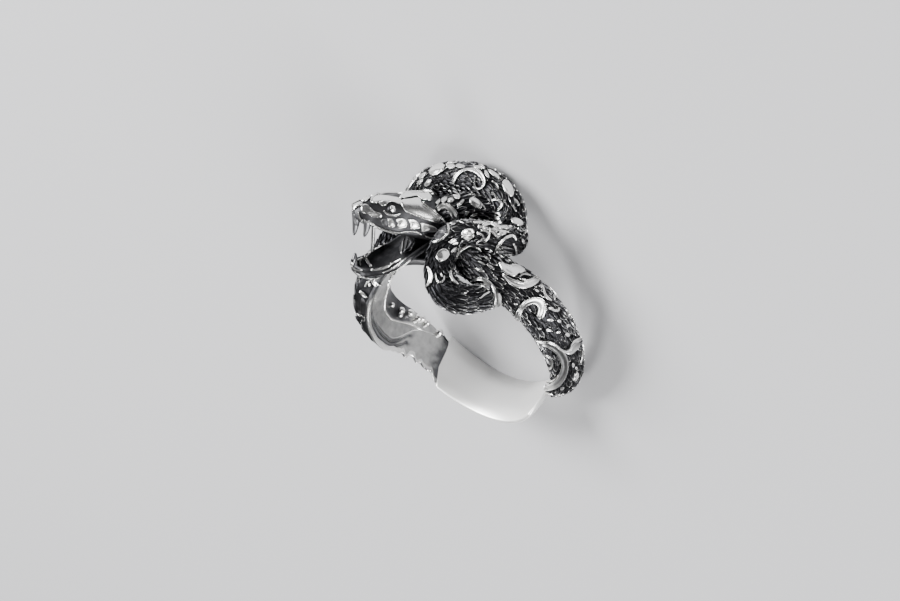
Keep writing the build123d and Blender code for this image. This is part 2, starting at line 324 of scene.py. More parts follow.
class Drape:
    """Surfaces that drawn marks are laid on. Marks are drawn as seen by the camera, in picture points."""

    def __init__(self, parts):
        point_lists, _, face_lists = zip(*parts)
        points, faces = merged(point_lists, face_lists)
        self.tree = BVHTree.FromPolygons([Vector(point) for point in points], faces)

    def ray(self, mark):
        """Direction from the camera through a picture point."""
        x, y = (np.array(mark) - IMAGE_MIDDLE) * PIXEL
        return unit(target + picture_right * x - picture_up * y - station)

    def lay(self, mark, near_depth=None):
        """Surface point, the direction a mark rises and the depth; beside the surface, its nearest point."""
        ray = self.ray(mark)
        place, normal, _, depth = self.tree.ray_cast(Vector(station), Vector(ray))
        if place is None or (near_depth is not None and abs(depth - near_depth) > DEPTH_JUMP):
            depth = near_depth if near_depth is not None else CAMERA_DISTANCE
            beside = station + ray * depth
            place, normal, _, _ = self.tree.find_nearest(Vector(beside))
            depth = (np.array(place) - station) @ ray
            outward = beside - np.array(place)
        else:
            outward = -ray
        normal = np.array(normal)
        if normal @ outward < 0:
            normal = -normal
        return np.array(place), unit(normal - ray * CAMERA_LEAN), depth

    def held(self, centre, place, normal, reach):
        """A point kept within reach of its mark's centre, where the surface turns away from the camera."""
        apart = np.linalg.norm(place - centre)
        if apart <= reach or apart < TOUCHING:
            return place, normal
        place, turned, _, _ = self.tree.find_nearest(Vector(centre + (place - centre) * reach / apart))
        turned = np.array(turned)
        return np.array(place), unit(turned if turned @ normal > 0 else -turned)

    def edge(self, mark):
        """Surface point closest to a ray that may pass beside the surface."""
        ray = self.ray(mark)
        place, _, _, _ = self.tree.ray_cast(Vector(station), Vector(ray))
        if place is not None:
            return np.array(place)
        depths = np.arange(CAMERA_DISTANCE - EDGE_SEARCH, CAMERA_DISTANCE + EDGE_SEARCH, EDGE_STEP)
        found = [self.tree.find_nearest(Vector(station + ray * depth)) for depth in depths]
        gaps = [gap for _, _, _, gap in found]
        return np.array(found[int(np.argmin(gaps))][0])

    def depths(self, line):
        """Depth of the surface along a drawn line, followed from its middle to both ends."""
        middle = len(line) // 2
        depths = np.zeros(len(line))
        _, _, depths[middle] = self.lay(line[middle])
        for k in range(middle + 1, len(line)):
            _, _, depths[k] = self.lay(line[k], depths[k - 1])
        for k in range(middle - 1, -1, -1):
            _, _, depths[k] = self.lay(line[k], depths[k + 1])
        return depths

    def stroke(self, drawn):
        """Raised band along a drawn line, with a rim along both its edges."""
        marks = np.array(drawn.line, dtype=float)
        run = distance_run(marks)
        count = max(STROKE_LEAST, int(run[-1] / STROKE_STEP))
        where = np.linspace(0, run[-1], count)
        if len(marks) > 2:
            line = natural_spline(run, marks, where)
        else:
            line = np.stack([np.interp(where, run, column) for column in marks.T], -1)
        widths = np.interp(where, run, drawn.widths)
        share = where / run[-1]
        end = np.minimum(widths.max() * ROUNDED_END / run[-1], 0.5)
        near_end = np.clip(np.minimum(share, 1 - share) / end, 0, 1)
        rounding = np.sqrt(np.clip(1 - (1 - near_end) ** 2, 0.0, 1)) * (1 - END_WIDTH) + END_WIDTH
        along = unit(np.gradient(line, axis=0))
        sideways = np.stack([-along[:, 1], along[:, 0]], -1)
        depths = self.depths(line)
        points, polish = [], []
        for k in range(count):
            centre, _, _ = self.lay(line[k], depths[k])
            height = END_HEIGHT + (1 - END_HEIGHT) * rounding[k]
            for reach, level, shine in STROKE_SECTION:
                shift = reach * widths[k] * rounding[k]
                place, normal, _ = self.lay(line[k] + sideways[k] * shift, depths[k])
                place, normal = self.held(centre, place, normal, abs(shift) * PIXEL * STRETCH)
                points.append(place + normal * (drawn.rise * (level * height if level > 0 else level)))
                polish.append(shine * drawn.shine)
        faces = grid_faces(count, len(STROKE_SECTION), closed=False, capped=False)
        return np.array(points), np.array(polish), faces

    def plate(self, drawn):
        """Raised plate inside a drawn outline, gently domed with a rounded edge."""
        rim = curve(drawn.outline, PLATE_POINTS, closed=True)
        middle = rim.mean(0)
        centre, _, depth = self.lay(middle)
        points, polish = [], []
        for share, level, shine in PLATE_SECTION:
            for mark in middle + (rim - middle) * share:
                place, normal, _ = self.lay(mark, depth)
                reach = np.linalg.norm(mark - middle) * PIXEL * STRETCH
                place, normal = self.held(centre, place, normal, reach)
                points.append(place + normal * level * drawn.rise)
                polish.append(shine * drawn.shine)
        return np.array(points), np.array(polish), grid_faces(len(PLATE_SECTION), PLATE_POINTS)


# Coils of the body: step along the centreline, and the length over which the left one's end is rounded, mm,
# down to a share of its size
COIL_STEP = 0.05
LEFT_END_ROUNDING = 1.1
END_SHARE = 0.35


class Coil:
    """A stretch of the snake's body: its centreline, the directions across it and its half sizes."""

    def __init__(self, route, rounding=0):
        points = np.array([spot_at(s.angle, s.lift, s.side) for s in route])
        chord = distance_run(points)
        knots = np.linspace(0, chord[-1], int(chord[-1] / COIL_STEP))
        centre = natural_spline(chord, points, knots)
        along = unit(np.gradient(centre, axis=0))
        side = np.array((0.0, 0.0, 1.0))
        sides = []
        for step in along:
            side = unit(side - step * side.dot(step))
            sides.append(side)
        self.s = distance_run(centre)
        self.length = self.s[-1]
        spread = COIL_RADIUS * np.interp(knots, chord, [s.spread for s in route])[:, None]
        girth = COIL_RADIUS * np.interp(knots, chord, [s.girth for s in route])[:, None]
        if rounding:
            share = np.clip(self.s / rounding, 0, 1)
            end = np.clip(np.sqrt(share * (2 - share)), END_SHARE, 1)[:, None]
            spread, girth = spread * end, girth * end
        self.table = np.hstack([centre, np.array(sides), np.cross(along, np.array(sides)), spread, girth])

    def row(self, s):
        """Centre, directions sideways and outwards, half width and half thickness, at distances along."""
        values = np.stack([np.interp(s, self.s, column) for column in self.table.T], -1)
        centre, side, out, spread, girth = np.split(values, [3, 6, 9, 10], axis=-1)
        return centre, unit(side), unit(out), spread, girth

    def surface(self, s, turn, height):
        """Points and normals at a distance along the body, an angle round it and a height off it."""
        centre, side, out, spread, girth = self.row(s)
        c, n = np.cos(turn)[..., None], np.sin(turn)[..., None]
        normal = unit(side * c / spread + out * n / girth)
        return centre + side * c * spread + out * n * girth + normal * np.asarray(height)[..., None], normal


# Finger side of the left shank by angle: its near edge, the lips of its hollow, its far edge, and the slope
# of the outside behind the near edge
Shank = namedtuple("Shank", "angle near lip_near lip_far low slope")
SHANK = [
    Shank(-42, 0.9, 0.6, -0.6, -2.6, 0.4),
    Shank(-50, 2.3, 1.6, -1.5, -2.2, 0.3),
    Shank(-59, 3.35, 2.8, -1.2, -1.7, 0.25),
    Shank(-66, 3.81, 3.2, -0.8, -1.5, 0.25),
    Shank(-74, 4.15, 3.15, 0.6, -1.4, 0.25),
    Shank(-82, 4.27, 2.85, 1.3, -1.5, 0.25),
    Shank(-91, 4.2, 2.5, 1.0, -1.9, 0.25),
    Shank(-99, 3.74, 2.0, 0.05, -2.3, 0.45),
    Shank(-105, 2.57, 0.9, -0.7, -2.7, 0.9),
    Shank(-111, 2.3, -0.9, -1.3, -2.9, 1.0),
    Shank(-116, 1.6, -1.5, -1.6, -3.1, 1.0),
    Shank(-124, 1.6, -2.2, -2.3, -3.2, 1.0),
    Shank(-131, 1.4, -2.4, -2.5, -3.0, 1.0),
    Shank(-136.3, 2.05, -2.4, -2.5, -2.8, 1.0),
    Shank(-142, 2.3, -2.4, -2.5, -2.7, 1.0),
]
# The table is read at this step in degrees, its corners rounded over this many steps either way
SHANK_STEP = 0.25
SHANK_ROUNDING = 14
SHANK_START = -50
SHANK_END = -142
FACE_END = -137
FACE_ROWS = 170
# Scale tips along the near edge: height in mm and number in a full turn
SCALLOP = 0.17
SCALLOPS = 47
HOLLOW_DEPTH = 1.2
HOLLOW_EDGE = 0.5
STEP_DEPTH = 0.105
FAR_SLOPE = 0.36
FAR_DROP = 1.15
# The body's skin lies this far under the finger side and its near edge, mm, and the finger side's outside
# keeps within this share of the body
UNDER_FACE = 0.1
UNDER_EDGE = 0.3
UNDER_SCALES = 0.93
# Turn from the near edge to the outside: distance out, drop and polish
Turn = namedtuple("Turn", "out drop shine")
OUTER_TURN = [
    Turn(0.06, -0.02, 1.0),
    Turn(0.16, 0.02, 0.8),
    Turn(0.32, 0.1, 0.3),
    Turn(0.7, 0.7, 0.12),
    Turn(1.2, 1.3, 0.1),
    Turn(1.8, 3.2, 0.1),
    Turn(2.1, 6.0, 0.1),
]
# End of the plain plate against the left shank, across its width
Crease = namedtuple("Crease", "height angle")
CREASE = [
    Crease(-2.95, -129.6),
    Crease(-1.93, -132.0),
    Crease(-0.58, -133.2),
    Crease(0.89, -135.6),
    Crease(2.45, -140.6),
]
CREASE_STEPS = 80
# The body's spots that lie along the left shank
BODY = [s for s in LEFT_COIL if s.angle <= -30]


def eased(angles, columns):
    """Columns read at even steps, with the corners between their entries rounded."""
    fine = np.arange(angles[0], angles[-1] + 0.1, SHANK_STEP)
    window = np.hanning(2 * SHANK_ROUNDING + 1)
    window /= window.sum()
    padded = [np.pad(np.interp(fine, angles, column), SHANK_ROUNDING, "edge") for column in columns]
    return fine, [np.convolve(column, window, "valid") for column in padded]


shank_rows = np.array(SHANK)[::-1]
shank_angles, shank_columns = eased(shank_rows[:, 0], shank_rows[:, 1:].T)
body_angles = [s.angle for s in BODY]
body_columns = [[getattr(s, column) for s in BODY] for column in ("lift", "side", "girth", "spread")]
crease_rows = np.array(CREASE)
crease_heights = np.linspace(CREASE[0].height, CREASE[-1].height, CREASE_STEPS)
crease_angles = natural_spline(crease_rows[:, 0], crease_rows[:, 1:], crease_heights)[:, 0]


def shank_at(angle):
    """Heights of the left shank's finger side at an angle."""
    return tuple(np.interp(angle, shank_angles, column) for column in shank_columns)


def crease_at(z):
    """Angle of the plate's end at a height."""
    return np.interp(z, crease_heights, crease_angles)


def edge_wave(angle):
    """Scale tips along the near edge, mm."""
    turn = radians(angle)
    wave = SCALLOP * sin(turn * SCALLOPS) + 0.5 * SCALLOP * sin(turn * SCALLOPS * 1.7 + 1)
    return wave * min(max((-100 - angle) / 4, 0), 1)


def inside_body(angle, z, depth):
    """A point of the left shank's outside, drawn in under its scales where it would stand out of the body."""
    lift, side, girth, spread = (np.interp(angle, body_angles, column) for column in body_columns)
    across_z = (z - side * KNOT_REACH) / (spread * COIL_RADIUS)
    across_r = (depth - lift * COIL_RADIUS) / (girth * COIL_RADIUS)
    share = min(UNDER_SCALES / max(np.hypot(across_z, across_r), 0.01), 1)
    height = side * KNOT_REACH + across_z * share * spread * COIL_RADIUS
    return height, (lift + across_r * share * girth) * COIL_RADIUS


def finger_side(points):
    """Keeps the body clear of the finger hole, and of the left shank's finger side."""
    x, y, z = points.T
    radius = np.hypot(x, y)
    angle = np.degrees(np.arctan2(x, y))
    near, _, lip_far, _, slope = shank_at(angle)
    shank = (angle < SHANK_START) & (angle > SHANK_END)
    under_far_edge = FINGER_RADIUS + UNDER_FACE + np.clip((lip_far - z) * FAR_SLOPE, 0, FAR_DROP)
    wall = np.maximum(radius, np.where(shank, under_far_edge, FINGER_RADIUS))
    ceiling = near - slope * (wall - FINGER_RADIUS) - UNDER_EDGE
    height = np.where(shank, np.minimum(z, ceiling), z)
    return np.stack([x / radius * wall, y / radius * wall, height], -1), radius < FINGER_RADIUS


# Rows of the left shank's finger side, each as (height, depth, polish) from the far edge to the outside

def far_edge(angle, low, lip_far, deep):
    """Slope from the far edge to the hollow."""
    plain = 0.12 + 0.48 * np.clip((-98 - angle) / 10, 0, 1)
    row = []
    for t in np.linspace(0, 1, 16)[:-1]:
        shine = plain + 0.5 * deep * max(0, t * 6 - 5)
        row.append((low + (lip_far - low) * t, FAR_SLOPE * (1 - t) * (lip_far - low), shine))
    return row


def hollow(lip_near, lip_far, deep):
    """Hollow between its lips."""
    row = []
    for t in np.linspace(0, 1, 26):
        edge = min(t, 1 - t) * max(lip_near - lip_far, 0.01) / HOLLOW_EDGE
        depth = HOLLOW_DEPTH * deep * (1 - (1 - min(edge, 1)) ** 2)
        shine = 0.36 + (0.56 * max(0, 1 - 2.2 * edge) if deep > 0.2 else 0.26)
        row.append((lip_far + (lip_near - lip_far) * t, depth, shine))
    return row


def near_band(angle, near, lip_near):
    """Band with two shallow steps from the hollow to the near edge, polished along its rim."""
    rim = 0.42 + 0.3 * np.exp(-(((angle + 97) / 9) ** 2))
    stepped = np.clip((-76 - angle) / 6, 0, 1) * np.clip((angle + 114) / 4, 0, 1)
    row = []
    for t in np.linspace(0, 1, 24)[1:]:
        step = (np.exp(-(((t - 0.25) / 0.09) ** 2)) + np.exp(-(((t - 0.55) / 0.09) ** 2))) * stepped
        plain = 0.44 + 0.18 * np.clip((-100 - angle) / 8, 0, 1) - 0.3 * step
        on_rim = t * (near - lip_near) > near - lip_near - rim
        row.append((lip_near + (near - lip_near) * t, STEP_DEPTH * step, max(plain, 1.0 if on_rim else 0)))
    return row


def outer_turn(angle, plain, wave, slope):
    """Turn from the near edge to the outside, its wave fading as it goes."""
    row = []
    for out, drop, shine in OUTER_TURN:
        z = plain + wave * max(1 - out / 0.9, 0) - 0.02
        z = z - slope * (drop if out > 0.3 else 0) * 0.8 - max(0, drop) * 0.1
        z, depth = inside_body(angle, z, out) if out > 0.5 else (z, out)
        row.append((z, depth, shine))
    return row


def shank_face():
    """Finger side of the left shank: far edge, hollow, near band and the turn to the outside."""
    points, polish = [], []
    for share in np.linspace(0, 1, FACE_ROWS):
        angle = SHANK_START + share * (FACE_END - SHANK_START)
        near, lip_near, lip_far, low, slope = (float(v) for v in shank_at(angle))
        wave = edge_wave(angle)
        deep = np.clip((lip_near - lip_far) / 1.2, 0, 1) * np.clip((SHANK_START - angle) / 6, 0, 1)
        row = far_edge(angle, low, lip_far, deep) + hollow(lip_near, lip_far, deep)
        row += near_band(angle, near + wave, lip_near) + outer_turn(angle, near, wave, slope)
        # Painted shade: the last tenth of the rows, by the crease against the plate, is darkened
        shade = 1 - 0.45 * np.clip((share - 0.9) / 0.1, 0, 1)
        opening = np.clip((SHANK_START - 4 - angle) / 10, 0.15, 1)
        for z, depth, shine in row:
            turn = radians(SHANK_START + share * (crease_at(z) - SHANK_START))
            radius = FINGER_RADIUS + depth
            points.append((radius * sin(turn), radius * cos(turn), z))
            polish.append(shine * shade * opening)
    return np.array(points), np.array(polish), grid_faces(FACE_ROWS, len(row), closed=False, capped=False)


# Materials

def node_material(name):
    """New material with its nodes, links and shader."""
    material = bpy.data.materials.new(name)
    material.use_nodes = True
    nodes = material.node_tree.nodes
    return material, nodes, material.node_tree.links, nodes["Principled BSDF"]


def ramp(nodes, *stops):
    """Colour ramp through stops, each a place and a grey level or a colour."""
    node = nodes.new("ShaderNodeValToRGB")
    while len(node.color_ramp.elements) < len(stops):
        node.color_ramp.elements.new(0.5)
    for element, (place, level) in zip(node.color_ramp.elements, stops):
        element.position = place
        element.color = (*level, 1) if isinstance(level, tuple) else (level, level, level, 1)
    return node


def noise(nodes, links, scale, detail, coordinates):
    """Noise texture at coordinates."""
    node = nodes.new("ShaderNodeTexNoise")
    node.inputs["Scale"].default_value = scale
    node.inputs["Detail"].default_value = detail
    links.new(coordinates, node.inputs["Vector"])
    return node


def add_bump(nodes, links, shader, texture, strength, distance):
    """Fine relief on a shader from a texture, its height in m."""
    bump = nodes.new("ShaderNodeBump")
    bump.inputs["Strength"].default_value = strength
    bump.inputs["Distance"].default_value = distance
    links.new(texture.outputs["Fac"], bump.inputs["Height"])
    links.new(bump.outputs["Normal"], shader.inputs["Normal"])


PATCHES = 0.3
DARK, DULL = (0.02, 0.02, 0.022), (0.14, 0.14, 0.145)
WORN, BRIGHT = (0.55, 0.55, 0.54), (0.9, 0.895, 0.88)


def cast_silver():
    """Silver, polished where the polish attribute is high and darkened where it is low, a little unevenly.
    The attribute holds the finish, and in places painted shade and painted highlights.
    """
    material, nodes, links, shader = node_material("cast_silver")
    place = nodes.new("ShaderNodeTexCoord").outputs["Object"]
    polish_and_shade = nodes.new("ShaderNodeAttribute")
    polish_and_shade.attribute_name = "polish"
    patches = noise(nodes, links, 1400, 4, place)
    uneven = nodes.new("ShaderNodeMath")
    uneven.operation = "MULTIPLY_ADD"
    links.new(patches.outputs["Fac"], uneven.inputs[0])
    uneven.inputs[1].default_value = PATCHES
    links.new(polish_and_shade.outputs["Fac"], uneven.inputs[2])
    shifted = nodes.new("ShaderNodeMath")
    shifted.operation = "SUBTRACT"
    links.new(uneven.outputs[0], shifted.inputs[0])
    shifted.inputs[1].default_value = PATCHES / 2
    tone = ramp(nodes, (0.05, DARK), (0.4, DULL), (0.62, WORN), (0.9, BRIGHT))
    links.new(shifted.outputs[0], tone.inputs["Fac"])
    links.new(tone.outputs["Color"], shader.inputs["Base Color"])
    rough = ramp(nodes, (0.1, 0.44), (0.5, 0.34), (0.9, 0.24))
    links.new(shifted.outputs[0], rough.inputs["Fac"])
    links.new(rough.outputs["Color"], shader.inputs["Roughness"])
    shader.inputs["Metallic"].default_value = 1.0
    add_bump(nodes, links, shader, noise(nodes, links, 5200, 3, place), 0.12, 0.00006)
    return material


def mirror_silver():
    """Polished silver with fine scratches and a faint clouding."""
    material, nodes, links, shader = node_material("mirror_silver")
    place = nodes.new("ShaderNodeTexCoord").outputs["Object"]
    stretch = nodes.new("ShaderNodeMapping")
    stretch.inputs["Rotation"].default_value = (0.3, 0.2, 0.9)
    stretch.inputs["Scale"].default_value = (9000, 260, 1500)
    links.new(place, stretch.inputs["Vector"])
    scratches = noise(nodes, links, 1.0, 2, stretch.outputs["Vector"])
    clouds = noise(nodes, links, 420, 3, place)
    rough = ramp(nodes, (0.3, 0.38), (0.7, 0.46))
    links.new(clouds.outputs["Fac"], rough.inputs["Fac"])
    links.new(rough.outputs["Color"], shader.inputs["Roughness"])
    shader.inputs["Base Color"].default_value = (0.96, 0.955, 0.94, 1)
    shader.inputs["Metallic"].default_value = 0.78
    add_bump(nodes, links, shader, scratches, 0.12, 0.00002)
    return material


cast = cast_silver()
mirror = mirror_silver()


# Skin of the body under its scales: mesh step and depth in mm, and how far from the finger hole it is smooth
MESH_STEP = 0.13
ROUND_STEPS = 64
SKIN_DROP = 0.10
HOLE_BORDER = 0.3
HOLE_POLISH = 0.55
GAP_POLISH = 0.04


def coil_skin(coil):
    """Base surface of a stretch of the body, darkened, with its finger side smooth."""
    rows = int(coil.length / MESH_STEP)
    s = np.linspace(0, coil.length, rows)
    turn = np.linspace(0, 2 * pi, ROUND_STEPS, endpoint=False)
    grid_s, grid_turn = np.meshgrid(s, turn, indexing="ij")
    points, _ = coil.surface(grid_s.ravel(), grid_turn.ravel(), np.full(grid_s.size, -SKIN_DROP))
    points, inside = finger_side(points)
    radius = np.hypot(points[:, 0], points[:, 1])
    near_hole = np.clip((FINGER_RADIUS + HOLE_BORDER - radius) / HOLE_BORDER, 0, 1)
    polish = np.where(inside, HOLE_POLISH, GAP_POLISH + (HOLE_POLISH - GAP_POLISH) * near_hole)
    return points, polish, grid_faces(rows, ROUND_STEPS)


# Bands round the finger hole: the inner wall and the plain plate, in mm and degrees
BAND_ROWS = 120
WALL = 1.0
WALL_CORNER = 0.25
WALL_POLISH = 0.36
WALL_LOW = -0.6
WALL_HIGH = 2.3
WALL_START = -51
WALL_MEETS = -37
WALL_RUNS_OUT = 40
WALL_END = 60
SHANK_LOW = -2.2
PLATE_START = 136
PLATE_OVERLAP = 0.3
# The plate's bulge is a share of its full size up to one angle, and grows to all of it over the next degrees
PLATE_THIN = 0.4
PLATE_THIN_UNTIL = 138
PLATE_GROWS_OVER = 35
PLATE_BULGE = 1.2
PLATE_EDGE = 0.14
PLATE_CORNER = 0.12
PLATE_WIDTH = 6.1
PLATE_LIFT = 0.4
PLATE_SLANT = 8.5


def band(name, start, end_at, section, material, polish):
    """Closed section of (radius, height) points swept round the hole, to an end that depends on height."""
    points = []
    for share in np.linspace(0, 1, BAND_ROWS):
        row = section(start + share * (end_at(0.0) - start))
        for r, z in row:
            angle = radians(start + share * (end_at(z) - start))
            points.append((r * sin(angle), r * cos(angle), z))
    part = np.array(points), np.full(len(points), polish), grid_faces(BAND_ROWS, len(row))
    mesh_piece(name, part, material)


def rounded(low, high, inner, outer, corner):
    """Rectangle in (radius, height) with rounded corners."""
    top, bottom = high - corner, low + corner
    near, far = inner + corner, outer - corner
    return [
        (r + corner * cos(radians(first + step)), z + corner * sin(radians(first + step)))
        for r, z, first in ((far, top, 0), (near, top, 90), (near, bottom, 180), (far, bottom, 270))
        for step in (0, 30, 60, 90)
    ]


def inner_wall_section(angle):
    """Band inside the knot: it widens into the left shank's finger side and runs out under the right one."""
    meet = np.clip((WALL_MEETS - angle) / (WALL_MEETS - WALL_START), 0, 1)
    run_out = np.clip((angle - WALL_RUNS_OUT) / (WALL_END - WALL_RUNS_OUT), 0, 1) ** 2
    low = WALL_LOW + (SHANK_LOW - WALL_LOW) * meet + run_out
    inner = FINGER_RADIUS + 0.45 * run_out + 0.04 * meet
    outer = FINGER_RADIUS + WALL * (1 - 0.4 * meet)
    return rounded(low, WALL_HIGH - 1.2 * run_out, inner, outer, WALL_CORNER)


def wall_end(_):
    """The inner wall ends at one angle."""
    return WALL_END


def plate_section(angle):
    """Flat to the finger with softly broken edges, bulged outside and slanted across the hole."""
    middle = PLATE_LIFT + FINGER_RADIUS * sin(radians(angle)) * sin(radians(PLATE_SLANT))
    half = PLATE_WIDTH / 2
    grown = (angle - PLATE_THIN_UNTIL) / PLATE_GROWS_OVER
    thickness = PLATE_BULGE * np.clip(PLATE_THIN + grown, PLATE_THIN, 1)
    bulge = []
    for step in range(0, 181, 12):
        radius = FINGER_RADIUS + PLATE_EDGE + (thickness - PLATE_EDGE) * sin(radians(step))
        bulge.append((radius, middle + half * cos(radians(step))))
    low, high = middle - half + PLATE_CORNER, middle + half - PLATE_CORNER
    return bulge + [(FINGER_RADIUS, z) for z in (low, middle - half / 3, middle + half / 3, high)]


def plate_end(z):
    """The plate ends a little past the crease against the left shank. Its angles run on past 180."""
    return 360 + (crease_at(z) + PLATE_OVERLAP)


band("inner_wall", WALL_START, wall_end, inner_wall_section, cast, WALL_POLISH)
band("plate", PLATE_START, plate_end, plate_section, mirror, 1.0)


# Cords and balls
CORD_SIDES = 20
CORD_SOFTNESS = 0.75
BALL_ROWS = 12
BALL_SIDES = 20
BALL_POLE = 0.04


def cord(path, widths, outward, polish):
    """Cord along a path, its section between a circle and a square, one flat of it turned outward."""
    along = unit(np.gradient(path, axis=0))
    out = unit(outward - along * (outward * along).sum(1, keepdims=True))
    across = np.cross(along, out)
    turn = np.linspace(0, 2 * pi, CORD_SIDES, endpoint=False)
    c, n = np.cos(turn), np.sin(turn)
    flat_c = np.sign(c) * np.abs(c) ** CORD_SOFTNESS
    flat_n = np.sign(n) * np.abs(n) ** CORD_SOFTNESS
    beside = across[:, None] * (flat_c * widths[:, None])[..., None]
    above = out[:, None] * (flat_n * widths[:, None])[..., None]
    points = (path[:, None] + beside + above).reshape(-1, 3)
    return points, np.full(len(points), polish), grid_faces(len(path), CORD_SIDES)


def ball(centre, radius, polish):
    """Ball, with a tiny flat at both poles."""
    rise = np.linspace(BALL_POLE, pi - BALL_POLE, BALL_ROWS)[:, None]
    turn = np.linspace(0, 2 * pi, BALL_SIDES, endpoint=False)[None]
    shell = np.stack([np.sin(rise) * np.cos(turn), np.sin(rise) * np.sin(turn), np.cos(rise) + 0 * turn], -1)
    points = centre + shell.reshape(-1, 3) * radius
    return points, np.full(len(points), polish), grid_faces(BALL_ROWS, BALL_SIDES)


# Head, in its own frame: X forward, Y to the snake's left, Z up, origin between the jaw corners, mm
Skull = namedtuple("Skull", "x lip cheek brow crown jaw_half brow_half crown_half")
Jaw = namedtuple("Jaw", "x rim keel rim_half keel_half")
Fang = namedtuple("Fang", "x y root tip lean")
HEAD_PLACE = np.array((-0.59, 12.69, -0.22))
HEAD_FORWARD = np.array((-0.643, 0.458, 0.614))
HEAD_UP = np.array((0.105, 0.847, -0.521))
SKULL = [
    Skull(-2.2, 0.4, 1.2, 2.3, 2.75, 1.5, 1.3, 0.6),
    Skull(-0.9, -0.35, 0.9, 2.6, 3.35, 2.3, 1.9, 0.8),
    Skull(0.8, -0.35, 1.0, 2.9, 3.6, 2.3, 1.9, 0.8),
    Skull(2.6, -0.05, 1.2, 2.9, 3.5, 2.1, 1.75, 0.75),
    Skull(4.4, 0.35, 1.5, 2.8, 3.4, 1.8, 1.5, 0.8),
    Skull(5.8, 0.7, 1.7, 2.55, 3.1, 1.45, 1.2, 0.7),
    Skull(6.9, 1.05, 1.8, 2.35, 2.7, 1.1, 0.9, 0.5),
    Skull(7.4, 1.45, 1.9, 2.2, 2.4, 0.6, 0.5, 0.3),
]
LOWER_JAW = [
    Jaw(-1.0, 0.0, -1.2, 1.9, 1.2),
    Jaw(0.6, -0.7, -1.9, 2.4, 1.6),
    Jaw(2.2, -1.8, -3.1, 2.6, 1.7),
    Jaw(4.0, -2.85, -4.2, 2.3, 1.4),
    Jaw(5.6, -3.35, -4.7, 1.75, 1.1),
    Jaw(6.7, -3.45, -4.6, 1.15, 0.7),
    Jaw(7.3, -3.3, -4.1, 0.5, 0.25),
]
FANGS = [
    Fang(6.15, 1.15, 1.4, -0.45, -0.25),
    Fang(6.85, -1.1, 1.6, -0.9, -0.15),
    Fang(7.1, 0.45, 1.7, 0.5, 0.1),
    Fang(7.1, -0.45, 1.7, 0.5, 0.1),
    Fang(7.0, 0.45, -3.8, -2.9, 0.05),
    Fang(6.9, -0.55, -3.7, -2.6, 0.05),
]
SKULL_STATIONS = 60
SKULL_HALF = 26
SKULL_POLISH = 0.16
EYE = (391.3, 209.0)
EYE_RADIUS = 0.5
EYE_SUNK = 0.62
EYE_POLISH = 0.114
# A part whose middle is nearer than this to the head's middle isn't mirrored
MIDDLE_WIDTH = 0.4
JAW_STATIONS = 110
JAW_FLOOR = 0.5
JAW_WALL = 0.3
JAW_ROLL = 0.16
THROAT_PLATE = 0.85
THROAT_GROOVE = 0.13
FANG_WIDTH = 0.27
FANG_STEPS = 16
FANG_POLISH = 0.36
FOLD_OUTLINE = [
    (-1.7, -0.6), (-1.7, 1.0), (0.6, 0.6), (2.7, 0.8), (2.0, -0.2), (1.8, -1.2), (2.5, -2.2), (1.0, -1.6),
]
FOLD_HALF = 1.2
FOLD_ROWS = 28
FOLD_STEPS = 60
FOLD_POLISH = 0.1
STRUT = [(5.0, -1.45, -2.75), (4.98, -1.5, -1.0), (5.05, -1.45, 1.1)]
STRUT_RADIUS = 0.2
STRUT_TIP = 0.8
STRUT_STEPS = 40
STRUT_POLISH = 0.5
